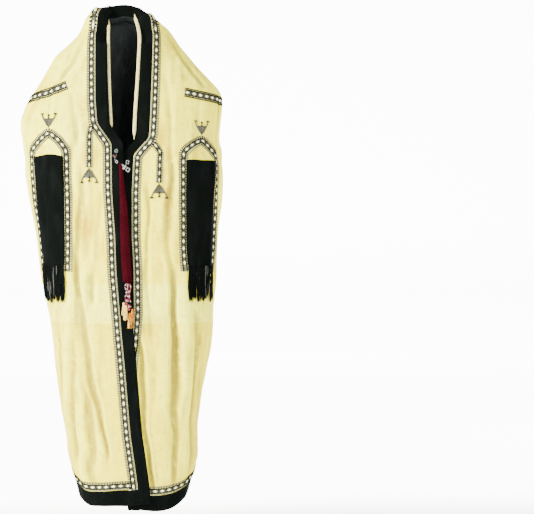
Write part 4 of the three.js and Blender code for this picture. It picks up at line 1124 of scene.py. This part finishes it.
# The arch over each breast panel, its motif, and the branch braids beside the front edges.
POCKETS = {
    -1: [[226, -708], [232, -640], [249, -505], [257, -400], [258, -374], [238, -345], [211, -322], [183, -344],
         [163, -372], [162, -400], [159, -505], [157, -640], [158, -708]],
    1: [[241, -708], [247, -640], [252, -505], [257, -410], [255, -388], [236, -362], [214, -340], [184, -357],
        [162, -376], [161, -400], [161, -505], [162, -640], [167, -708]],
}
BRANCHES = {-1: [[93, -306], [98, -330], [98, -421]], 1: [[80, -352], [98, -378], [96, -400], [94, -463]]}
SHOULDERS = {-1: [[161, -188], [215, -209], [268, -224]], 1: [[166, -206], [215, -214], [275, -226]]}
for side in SIDES:
    def draw_pocket(shape, side=side):
        path = Path(side, POCKETS[side], soften=7)
        braid(shape, path.map, path.length, "ticks", "ticks", lift=0.6)
        apex = POCKETS[side][6]
        motif(shape, side, apex[0], apex[1] + 11, 44, 42, True)
    trims["front%d" % side].append(braid_piece("breast_thread_" + NAME[side], draw_pocket))

    def draw_branch(shape, side=side):
        path = Path(side, BRANCHES[side], soften=5)
        braid(shape, path.map, path.length, "ticks", "ticks", lift=0.6, core=3.8, tick=5.0)
        x, level = BRANCHES[side][-1]
        motif(shape, side, x, level - 1, 46, 42, False)
    trims["front%d" % side].append(braid_piece("branch_thread_" + NAME[side], draw_branch))

    def draw_shoulder(shape, side=side):
        path = Path(side, SHOULDERS[side], soften=5)
        braid(shape, path.map, path.length, "ticks", "ticks", lift=0.6, core=6.5, tick=3.6)
        ribbon(shape, path.map, 0, path.length, [[-13.4, 0.1], [-12.0, 1.6], [-10.4, 0.1]], BLACK_T, 0.6)
        ribbon(shape, path.map, 0, path.length, [[10.4, 0.1], [12.0, 1.6], [13.4, 0.1]], BLACK_T, 0.6)
    trims["front%d" % side].append(braid_piece("shoulder_thread_front_" + NAME[side], draw_shoulder))


# ---------- breast panels and their fringes ----------

PANEL = {-1: (-385, 12.0), 1: (-397, 12.0)}
PANEL_BOTTOM = -690.0


def pocket_x(side, level, outer):
    points = np.array(POCKETS[side])
    points = points[:5] if outer else points[8:]
    order = np.argsort(-points[:, 1])
    return np.interp(-level, -points[order, 1], points[order, 0])


def panel_span(side, levels):
    spans = []
    for level in np.atleast_1d(levels):
        inner = arc_of(side, float(pocket_x(side, level, False)), level) + 10.0
        outer = arc_of(side, float(pocket_x(side, level, True)), level) - 10.0
        spans.append((inner, outer))
    return np.array(spans).T


def breast_panel(side):
    top = PANEL[side][0]
    levels = np.linspace(top, PANEL_BOTTOM, 52)
    start, end = panel_span(side, levels)
    for edge in (start, end):
        edge[:] = averaged(edge, 3)
    share = np.linspace(0, 1, 17)
    arc = start[:, None] + (end - start)[:, None] * share
    level = np.repeat(levels[:, None], 17, 1) + 1.5 * np.sin(share * 7 + side)[None] * (levels[:, None] > top - 8)
    level -= (9 * (share - 0.5) ** 2 * 4)[None] * ((levels - levels[-1]) / (top - levels[-1]))[:, None] * 0.4
    out = 1.4 + 1.2 * np.sin(np.pi * share)[None] * np.ones_like(arc)
    CUTS["breast_cloth_" + NAME[side]] = cut_size(place(side, arc, level, 0.0, "plain"))
    shape = Shape()
    add_sheet(shape, place(side, arc, level, out + 1.2), place(side, arc, level, out), np.stack([arc, level], -1))
    piece = shape.build("breast_cloth_" + NAME[side], [BLACK], ["breast_panel_" + NAME[side]])
    edging = Shape()
    path = np.stack([arc[:, 0] - 0.6, level[:, 0]], 1)
    line = np.array([place(side, a, z, 2.4) for a, z in path])
    add_tube(edging, line, 1.1, 5)
    edge = edging.build("breast_edging_" + NAME[side], [BLACK])
    return piece, edge


FRINGE_STRANDS, FRINGE_CLUMPS = 104, 6


def fringe(side):
    shape = Shape()
    start, end = panel_span(side, np.array([PANEL_BOTTOM]))
    start, end = float(start[0]), float(end[0])
    head = np.array([place(side, a, PANEL_BOTTOM - 2, 3.6) for a in np.linspace(start + 1, end - 1, 24)])
    add_tube(shape, head, 2.2, 6, 0)
    random = np.random.default_rng(70 + side)
    count, clumps = FRINGE_STRANDS, FRINGE_CLUMPS
    middle = (start + end) / 2
    for k in range(count):
        share = (k + 0.5) / count
        arc = start + (end - start) * share
        clump = start + (end - start) * (math.floor(share * clumps) + 0.5) / clumps
        length = 96 + 5 * math.cos(math.floor(share * clumps) * 2.2 + side) + random.normal(0, 2.5)
        t = np.linspace(0, 1, 7)
        pull = (clump - arc) * 0.30 * t ** 2
        fan = (arc - middle) * 0.10 * np.sin(np.pi * t * 0.75)
        arcs = arc + pull + fan + random.normal(0, 0.8) * t + 0.5 * np.sin(t * 9 + k)
        levels = PANEL_BOTTOM - 2 - length * t
        out = 4.6 + 2.0 * (k % 3) * t + 1.2 * np.sin(t * 6 + k * 1.7)
        line = np.array([place(side, a, z, o) for a, z, o in zip(arcs, levels, out)])
        silver = random.random() < 0.04
        add_tube(shape, line, np.interp(t, [0, 0.9, 1], [1.15, 1.05, 0.45]), 4, 1 if silver and share > 0.1 else 0)
    return shape.build("fringe_" + NAME[side], [BLACK, SILVER], ["breast_fringe_" + NAME[side]])


panels, strips = {}, {}
for side in SIDES:
    panels[side], edging = breast_panel(side)
    trims["front%d" % side] += [edging, fringe(side)]

# ---------- false sleeves ----------

SLEEVE = table("level rightInner rightOuter leftInner leftOuter", [
    [-26, 74, 106, 72, 108], [-40, 78, 115, 78, 119], [-62, 82, 132, 84, 138], [-97, 84, 158, 88, 172],
    [-130, 83, 186, 88, 195], [-164, 81, 218, 88, 217], [-197, 78, 246, 86, 238], [-231, 74, 260, 84, 261],
    [-248, 72, 261, 82, 265], [-265, 68, 257, 81, 260], [-300, 58, 238, 79, 238], [-343, 47, 195, 77, 200],
    [-400, 38, 172, 75, 172], [-456, 30, 162, 70, 164], [-528, 20, 150, 60, 154], [-600, 12, 137, 54, 146],
    [-679, 6, 122, 47, 136], [-751, 0, 107, 40, 122], [-820, -7, 92, 33, 112], [-887, -15, 76, 24, 102],
    [-921, -17, 69, 19, 98], [-970, -17.5, 59, 19.5, 93], [-1014, -17, 50, 20.5, 90], [-1092, -15, 45, 23, 86],
    [-1170, -13, 44, 27, 85], [-1236, -11, 44, 30, 85], [-1290, -11, 44, 30, 85],
])
SLEEVE_TOP, SLEEVE_END, SLEEVE_LOW = -26.0, -1236.0, -1290.0


def sleeve_arcs(side, levels):
    spans = []
    for level in levels:
        inner, outer = (float(straight(SLEEVE, "level", NAME[side] + part, level)) for part in ("Inner", "Outer"))
        spans.append((arc_of(side, inner, level, True), arc_of(side, outer, level, True)))
    start, end = np.array(spans).T
    for edge in (start, end):
        edge[:] = averaged(edge, 4)
    return start, end


def sleeve_folds(side, share, level):
    folds = 2.2 * bell((share - 0.32 - 0.05 * np.sin(level / 160)) / 0.09) * smooth((-level - 160) / 220)
    folds -= 2.6 * bell((share - 0.55 - 0.06 * np.sin(level / 120 + 1)) / 0.07) * smooth((-level - 240) / 220)
    folds += 1.8 * bell((share - 0.78) / 0.08) * smooth((-level - 420) / 220)
    folds -= 1.6 * bell((share - 0.20 + 0.04 * np.sin(level / 90 + side)) / 0.05) * smooth((-level - 420) / 200)
    return folds


def sleeve_out(side, share, level):
    hang = 5 * smooth((-level - 330) / 200) * (0.35 + 0.65 * share)
    puff = 4.5 * np.sin(np.pi * np.clip(share, 0, 1)) ** 0.6 * smooth((-level - 30) / 120)
    sewn = smooth((share - 0.5) / 0.5) * smooth((level + 330) / 80)
    gathered = 0.35 + 0.65 * smooth((SLEEVE_TOP - level) / 45)
    return (SLEEVE_LIFT + puff + sleeve_folds(side, share, level)) * (1 - 0.78 * sewn) * gathered + hang


def sleeve_sheet(side, levels, columns, name, materials, replaces, level_shift=None):
    start, end = sleeve_arcs(side, levels)
    share = np.linspace(0, 1, columns + 1)
    arc = start[:, None] + (end - start)[:, None] * share
    level = np.repeat(levels[:, None], columns + 1, 1)
    if level_shift is not None:
        level = level_shift(level, share[None])
    CUTS[name] = cut_size(place(side, arc, level, 0.0, "plain"))
    out = sleeve_out(side, share[None], level)
    thick = 1.2 + 2.4 * np.sin(np.pi * share)[None] ** 0.5 * np.ones_like(arc)
    shape = Shape()
    # The third flat column is the folds' relief, from which the material paints shade in hollows and highlight on
    # ridges.
    add_sheet(shape, place(side, arc, level, out, "plain"), place(side, arc, level, out - thick, "plain"),
              np.stack([arc, level, sleeve_folds(side, share[None], level) * 1.1], -1))
    return shape.build(name, materials, replaces)


def notch(level, share):
    depth = 16 * smooth(1 - np.abs(share - 0.5) / 0.12)
    t = (SLEEVE_END - level) / (SLEEVE_END - SLEEVE_LOW)
    return level - depth * (1 - t)


sleeves, ends = {}, {}
for side in SIDES:
    n = NAME[side]
    sleeves[side] = sleeve_sheet(side, levels_between(SLEEVE_TOP, SLEEVE_END - 4, 7), 26, "false_sleeve_cloth_" + n,
                                 [CREAM_SLEEVE], ["false_sleeve_" + n])
    ends[side] = sleeve_sheet(side, np.linspace(SLEEVE_END - 1, SLEEVE_LOW, 14), 26, "sleeve_end_cloth_" + n,
                              [BLACK], ["sleeve_end_" + n], notch)

    def draw_back(shape, side=side):
        points = [[262, -243], [256, -268], [236, -296], [206, -330], [186, -352]]
        path = Path(side, points, back=True, soften=7, across=-1.0, kind="plain")
        braid(shape, path.map, path.length, "ticks", "ticks", lift=SLEEVE_LIFT + 3.5, core=6.5, tick=3.6)
    trims["sleeve%d" % side].append(braid_piece("shoulder_thread_back_" + NAME[side], draw_back))

# ---------- the back yoke ----------


class BackPath(Path):
    """A line on the top of the back, given by distance from the middle and distance down from the crown seam."""

    def map(self, local, lift=0.0):
        x, down = self.spot(local)
        level = depth_level(down)
        return place(1, half(1, level) - x, level, local[:, 2] + lift)


def draw_yoke(shape):
    path = BackPath(1, [[28, 27], [28, 50], [27, 72], [26, 92], [15, 110], [0, 126],
                        [-15, 110], [-26, 92], [-27, 72], [-28, 50], [-28, 27]], soften=6, direct=True)
    rungs = np.arange(2, path.length - 1, 4.4)
    ribbon(shape, path.map, 0, path.length, [[-6.5, 0.4], [0, 0.7], [6.5, 0.4]], LADDER, 0.8)
    for v in (-6.2, 0.0, 6.2):
        cord_line(shape, path.map, 0, path.length, v, 2.6, OLIVE if v == 0 else BLACK_T, 0.8)
    for v in (-3.1, 3.1):
        stamp(shape, path.map, bar(1.9, 4.4, 1.3), BAR_FACES, beside(rungs, v), OLIVE, 1.1)
    for x, down, size in ((0, 130, 38), (-18, 134, 15), (18, 134, 15)):
        stem = BackPath(1, [[x, down], [x, down + 90]], soften=0, direct=True)
        motif(shape, 1, 0, 0, size, size * 1.15, False, path=stem)


trims["back1"].append(braid_piece("yoke_thread", draw_yoke))

# ---------- ribbons inside the opening ----------

RIBBONS = {-1: [[-45.5, 6], [-46.5, -38], [-45, -128], [-42, -218], [-38, -300], [-36, -318]],
           1: [[24, 22], [34, 0], [40.5, -32], [41, -70], [35, -172], [28.5, -262], [25, -342]]}
RIBBON_BEHIND = 7.5
for side in SIDES:
    points = np.array(RIBBONS[side], float)
    t = np.linspace(0, 1, 60)
    run = run_along(points)
    run /= run[-1]
    xs, zs = np.interp(t, run, points[:, 0]), np.interp(t, run, points[:, 1])
    xs = averaged(xs, 4)
    tip = np.minimum(smooth(t / 0.05), smooth((1 - t) / 0.07))
    widths = (3.8 if side < 0 else 4.8) * (0.15 + 0.85 * tip)
    seams = [(abs(x), min(z, -3)) for x, z in zip(xs, zs)]
    depth = np.array([place(side, arc_of(side, x, z), z, 0.0, "plain")[1] for x, z in seams]) + RIBBON_BEHIND
    shares = np.linspace(-1, 1, 7)
    outer = grid_of(xs[:, None] + widths[:, None] * shares, depth[:, None] + 1.2 * shares ** 2, zs[:, None])
    CUTS["inner_ribbon_cloth_" + NAME[side]] = cut_size(outer)
    inner = outer + np.array([0, 0.9, 0])
    shape = Shape()
    add_sheet(shape, outer, inner, np.stack([outer[..., 0], outer[..., 2]], -1))
    strips[side] = shape.build("inner_ribbon_cloth_" + NAME[side], [RIBBON_CREAM],
                               ["inner_ribbon_" + NAME[side]])

# ---------- ties, beads and tassels ----------


def front_y(x, level):
    return float(min(place(t, arc_of(t, t * x, level), level, 0.0)[1] for t in SIDES))


def back_y(x, level):
    s = -1 if x < 0 else 1
    return float(place(s, arc_of(s, abs(x), level, True), level, 0.0, "plain")[1])


def tassel(shape, top, radius, length, strands, spread_out, slots, seed):
    random = np.random.default_rng(seed)
    top = np.asarray(top, float)
    add_bead(shape, top + [0, 0, -radius], radius, slots[0], (0.9, 0.9, 1.1))
    for k in range(5):
        turn = np.linspace(0, 2 * np.pi, 13)
        ring = grid_of(np.cos(turn) * radius * 0.82, np.sin(turn) * radius * 0.82, -radius * 1.75 - k * 0.9)
        add_tube(shape, top + ring, 0.6, 4, slots[-1])
    for k in range(strands):
        angle = 2.4 * k
        reach = radius * math.sqrt((k + 0.5) / strands)
        t = np.linspace(0, 1, 6)
        r = reach * (0.75 + (spread_out - 0.75) * t)
        wave = random.normal(0, 0.5)
        line = np.stack([np.cos(angle + wave * t) * r, np.sin(angle + wave * t) * r * 0.8,
                         -radius * 1.4 - (length - radius * 1.4) * t * (1 + random.normal(0, 0.05))], 1)
        add_tube(shape, top + line, 0.95, 4, slots[k % len(slots)])


TIE_TOP, TIE_BOTTOM, TIE_FORWARD = -410.0, -738.0, 9.0
t = np.linspace(0, 1, 60)
zs = TIE_TOP + (TIE_BOTTOM - TIE_TOP) * t
xs = np.interp(t, [0, 0.36, 0.6, 0.8, 1], [-12.5, -4.0, -0.8, 2.2, 6.5])
wide = np.interp(t, [0, 0.1, 0.36, 0.6, 0.9, 1], [4.5, 6.0, 10.5, 13.0, 13.5, 12.5])
shares = np.linspace(-1, 1, 13)
base = np.array([front_y(x, z) for x, z in zip(xs, zs)])
base = averaged(base, 5) - TIE_FORWARD
across = xs[:, None] + wide[:, None] * shares
CUTS["tie_cloth"] = cut_size(grid_of(across, base[:, None], zs[:, None]))
curl = 2.0 * np.cos(shares * 2.4)[None] * (0.5 + 0.5 * t[:, None]) + 1.2 * np.sin(t * 23)[:, None] * shares[None]
front = grid_of(across, base[:, None] - curl, zs[:, None])
tie = Shape()
add_sheet(tie, front, front + np.array([0, 1.0, 0]), np.stack([front[..., 0], front[..., 2]], -1))
tie_cloth = tie.build("tie_cloth", [CRIMSON], ["tie_ribbon"])

PINK, WHITE, GREY, RED, BLACK_B, GREEN, BROWN = range(7)


def loose_beads(shape, rows, out):
    """Single beads: x, z, radius and slot."""
    for x, z, radius, slot in rows:
        add_bead(shape, [x, front_y(x, z) - out, z], radius, slot)


def bead_ring(shape, x, z, wide, tall, radius, slots, out):
    for k in range(12):
        turn = 2 * math.pi * k / 12
        px, pz = x + math.cos(turn) * wide, z + math.sin(turn) * tall
        add_bead(shape, [px, front_y(px, pz) - out, pz], radius, slots[k % len(slots)])


clasp = Shape()
bead_ring(clasp, -24, -376, 3.4, 4.2, 1.9, (GREEN, GREY), 9)
loose_beads(clasp, [(-31, -389, 3.4, BROWN), (-27, -393, 3.8, BROWN), (-24, -388, 2.4, BROWN),
                    (-27, -400, 2.4, GREY)], 8)
bead_ring(clasp, -23, -406, 2.6, 3.4, 1.4, (GREY, WHITE), 8)
clasp.build("clasp_beads_left", BEADS, ["clasp_left"])
clasp = Shape()
bead_ring(clasp, 7, -407, 3.8, 4.6, 1.5, (GREY, WHITE, GREY), 10)
bead_ring(clasp, 8, -428, 4.6, 5.2, 1.7, (WHITE, WHITE, GREY), 11)
loose_beads(clasp, [(-8, -413, 2.0, GREY), (-5, -417, 2.6, WHITE), (-3, -424, 3.4, WHITE), (1, -419, 2.8, WHITE),
                    (3, -414, 2.2, GREY)], 12)
clasp.build("clasp_beads_right", BEADS, ["clasp_right"])


def bead_string(shape, path, radius, colours):
    """Small beads threaded along a line."""
    run = run_along(path)
    for k, s in enumerate(np.arange(0, run[-1], radius * 1.9)):
        add_bead(shape, [np.interp(s, run, path[:, i]) for i in range(3)], radius, colours[k % len(colours)])


DROPS = {-1: (4.5, -742.0, 62.0, (PINK, WHITE, RED)), 1: (11.5, -742.0, 84.0, (RED, PINK, WHITE, PINK))}
TASSEL_STRANDS = {-1: 34.0, 1: 36.0}
for side, (x, top, length, colours) in DROPS.items():
    shape = Shape()
    y = front_y(x, top) - 13
    for offset in (-2.6, 2.6):
        u = np.linspace(0, 1, 30)
        line = grid_of(x + offset * np.sin(np.pi * u * 2.5) + offset * 0.6, y, top - length * 0.62 * u)
        bead_string(shape, line, 1.9, colours)
    star = np.array([x, y - 1, top - length * 0.74])
    for k in range(6):
        turn = math.pi / 3 * k
        add_bead(shape, star + np.array([math.cos(turn), 0, math.sin(turn)]) * 4.4, 2.1, RED if k % 2 else PINK)
    add_bead(shape, star, 2.4, WHITE)
    add_bead(shape, star + [0, 0, -9], 2.6, PINK)
    shape.build("bead_drop_%s_glass" % NAME[side], BEADS, ["bead_drop_" + NAME[side]])
    shape = Shape()
    tassel(shape, [x + side * 2, y, top - length * 0.95], 4.6, TASSEL_STRANDS[side] + 4, 44, 1.6,
           (0, 1, 0) if side > 0 else (1, 1, 0, 1), 5 + side)
    tassel(shape, [x + side * 2 + (7 if side > 0 else -6), y + 1, top - length * 0.82], 3.6, TASSEL_STRANDS[side],
           36, 1.5, (1, 1, 0, 1) if side < 0 else (0, 1, 0, 0), 9 + side)
    shape.build("chest_tassel_silk_" + NAME[side], [ORANGE, SILK_CREAM],
                ["chest_tassel_" + NAME[side]])

# The back tie: beaded bands that hang from a red knot.
KNOT = (-18.0, -921.0)
BANDS = {1: ((50, -1030), (58, -1064)), -1: ((-90, -1028), (-98, -1062))}
BAND_OUT, BAND_THICK = 17.0, 3.0
for side, (low, tip) in BANDS.items():
    top = np.array([KNOT[0] + side * 10, KNOT[1] + 2.0])
    low, tip = np.array(low, float), np.array(tip, float)
    along = (low - top) / np.linalg.norm(low - top)
    across = np.array([-along[1], along[0]])
    total = np.linalg.norm(tip - top)
    share = np.linspace(0, 1, 30)
    centre = top + (tip - top) * share[:, None]
    half_wide = np.interp(share, [0, 0.16, 0.7, 0.8, 1], [10, 19, 19, 16, 6])
    v = np.linspace(-1, 1, 11)
    xz = centre[:, None] + across * (half_wide[:, None] * v)[..., None]
    ys = np.array([[back_y(p[0], p[1]) for p in row] for row in xz])
    outer = np.stack([xz[..., 0], ys + BAND_OUT + BAND_THICK - 1.0 * v[None] ** 2, xz[..., 1]], -1)
    inner = np.stack([xz[..., 0], ys + BAND_OUT, xz[..., 1]], -1)
    shape = Shape()
    add_sheet(shape, outer, inner, xz)
    pitch = 4.4
    for i in range(int(total / pitch)):
        s = (i + 0.5) * pitch
        w = float(np.interp(s / total, share, half_wide)) - 1.5
        for j in range(-5, 6):
            if abs(j * pitch) > w:
                continue
            p = top + (tip - top) * (s / total) + across * j * pitch
            check = (abs((i % 6) - 3) + abs(j % 6 - 3)) % 6
            slot = (BLACK_B, GREEN, BLACK_B, PINK, BROWN, GREEN)[check]
            if (i * 2 + j) % 7 == 0:
                slot = WHITE
            if (i + j) % 2 and check in (1, 5):
                slot = BLACK_B
            if abs(j * pitch) > w - pitch:
                slot = BLACK_B if i % 3 else WHITE
            if s / total > 0.76:
                slot = GREEN if (i + j) % 2 else WHITE
            if s / total > 0.90:
                slot = RED
            add_bead(shape, [p[0], back_y(p[0], p[1]) + BAND_OUT + BAND_THICK + 0.6, p[1]], 2.15, slot + 1, (1, 0.7, 1))
    for k in range(9):
        u = 0.30 + 0.05 * k
        for edge in (-1, 1):
            p = top + (tip - top) * u + across * edge * 21.5
            add_bead(shape, [p[0], back_y(p[0], p[1]) + BAND_OUT + 1.5, p[1]], 1.9, (RED if k % 2 else WHITE) + 1)
    shape.build("beaded_band_glass_" + NAME[side], [CRIMSON] + BEADS, ["beaded_band_" + NAME[side]])
    shape = Shape()
    tassel(shape, [tip[0], back_y(*tip) + BAND_OUT + 7, tip[1] - 3.5], 7.5, 43, 60, 1.25, (0, 0, 0, 1), 20 + side)
    shape.build("band_tassel_silk_" + NAME[side], [ORANGE, SILK_CREAM], ["band_tassel_" + NAME[side]])
shape = Shape()
knot = np.array([KNOT[0], back_y(*KNOT) + BAND_OUT + BAND_THICK + 7, KNOT[1]])
u = np.linspace(0, 2 * np.pi, 70)
line = np.stack([(np.sin(u) + 2 * np.sin(2 * u)) * 3.4, np.sin(3 * u) * 3.2, (np.cos(u) - 2 * np.cos(2 * u)) * 4.0], 1)
add_tube(shape, knot + line, 2.6, 8)
add_bead(shape, knot, 4.5, 0, (1, 0.7, 1.1))
shape.build("knot_tape", [KNOT_RED], ["back_knot"])
shape = Shape()
tassel(shape, [KNOT[0], knot[1] - 1, KNOT[1] - 20], 4.6, 34, 26, 1.2, (0, 1), 31)
shape.build("centre_tassel_silk", [ORANGE, CRIMSON], ["centre_tassel"])

# ---------- what each sheet was cut to ----------

NARROWEST_SHEET = 0.010


def cut(piece, with_pieces=()):
    """Looks up a sheet's cut size, the size that its smooth form has before folds are laid into it."""
    wide, tall, area = CUTS[piece.name]
    max(wide, NARROWEST_SHEET)
    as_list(with_pieces)


for side in SIDES:
    n = NAME[side]
    cut(fronts[side], trims["front%d" % side])
    cut(backs[side], trims["back%d" % side])
    cut(bpy.data.objects["lining_cloth_" + n])
    cut(sleeves[side], trims["sleeve%d" % side])
    cut(ends[side])
    cut(borders[side])
    cut(panels[side])
    cut(strips[side])
    for part, owner in (("front", fronts), ("back", backs)):
        cut(hems[part, side])
cut(borders[0])
cut(tie_cloth)

# ---------- camera, light and stage ----------

camera_data = bpy.data.cameras.new("camera")
camera_data.lens = 118
camera_data.sensor_width = 36
camera = bpy.data.objects.new("camera", camera_data)
bpy.context.scene.collection.objects.link(camera)
camera.location = (0.0, -5.0, -0.668)
aim = Vector((0.3976, -0.10, -0.668)) - camera.location
camera.rotation_euler = aim.to_track_quat("-Z", "Y").to_euler()
bpy.context.scene.camera = camera


def area_light(name, place_at, target, size, power, colour=(1, 1, 1)):
    data = bpy.data.lights.new(name, "AREA")
    data.shape = "RECTANGLE"
    data.size, data.size_y = size
    data.energy = power
    data.color = colour
    light = bpy.data.objects.new(name, data)
    light.location = place_at
    light.rotation_euler = (Vector(target) - Vector(place_at)).to_track_quat("-Z", "Y").to_euler()
    bpy.context.scene.collection.objects.link(light)


area_light("key", (-3.4, -2.4, 0.7), (0, 0, -0.7), (1.2, 2.6), 780)
area_light("fill", (1.6, -4.2, -0.2), (0, 0, -0.7), (2.0, 2.6), 200)
area_light("back", (2.9, 3.0, 0.9), (0, 0, -0.6), (1.4, 2.4), 190)
world = bpy.data.worlds.new("world")
world.use_nodes = True
world.node_tree.nodes["Background"].inputs["Color"].default_value = (1, 1, 1, 1)
world.node_tree.nodes["Background"].inputs["Strength"].default_value = 1.05
bpy.context.scene.world = world

floor_mesh = bpy.data.meshes.new("floor")
profile = [(-9.0, -1.46), (0.0, -1.46), (7.0, -1.46), (7.8, -1.36), (8.4, -1.0), (8.6, -0.4), (8.6, 1.6)]
points = [(x, y, z) for y, z in profile for x in (-9, 9)]
points[-6:] = [(x * 0.5 + 1.0, y, z) for x, y, z in points[-6:]]
floor_mesh.from_pydata(points, [], [[2 * i, 2 * i + 1, 2 * i + 3, 2 * i + 2] for i in range(len(profile) - 1)])
floor_mesh.shade_smooth()
floor = bpy.data.objects.new("floor", floor_mesh)
bpy.context.scene.collection.objects.link(floor)
paper = Nodes("floor_paper", roughness=0.95, specular=0.05)
tone = paper.noise(paper.place(), 3.0)
# The sweep glows, its emission growing towards the back, in a lane as wide as the picture, so that it shows white
# behind the object.
paper.shader.inputs["Emission Color"].default_value = (1, 1, 1, 1)
parts = paper.node("SeparateXYZ", None, Vector=paper.place())
behind = paper.ramp(parts.outputs[1], -0.1, 0.9)
beside = paper.math("ABSOLUTE", paper.math("SUBTRACT", parts.outputs[0], 0.9))
glow_lane = paper.times(behind, paper.ramp(beside, 3.6, 2.2))
paper.put(paper.shader.inputs["Emission Strength"], paper.math("MULTIPLY_ADD", glow_lane, 9.0, 0.5))
floor_mesh.materials.append(paper.done(paper.mix(tone.outputs[0], (0.90, 0.90, 0.89, 1), (0.93, 0.93, 0.92, 1))))
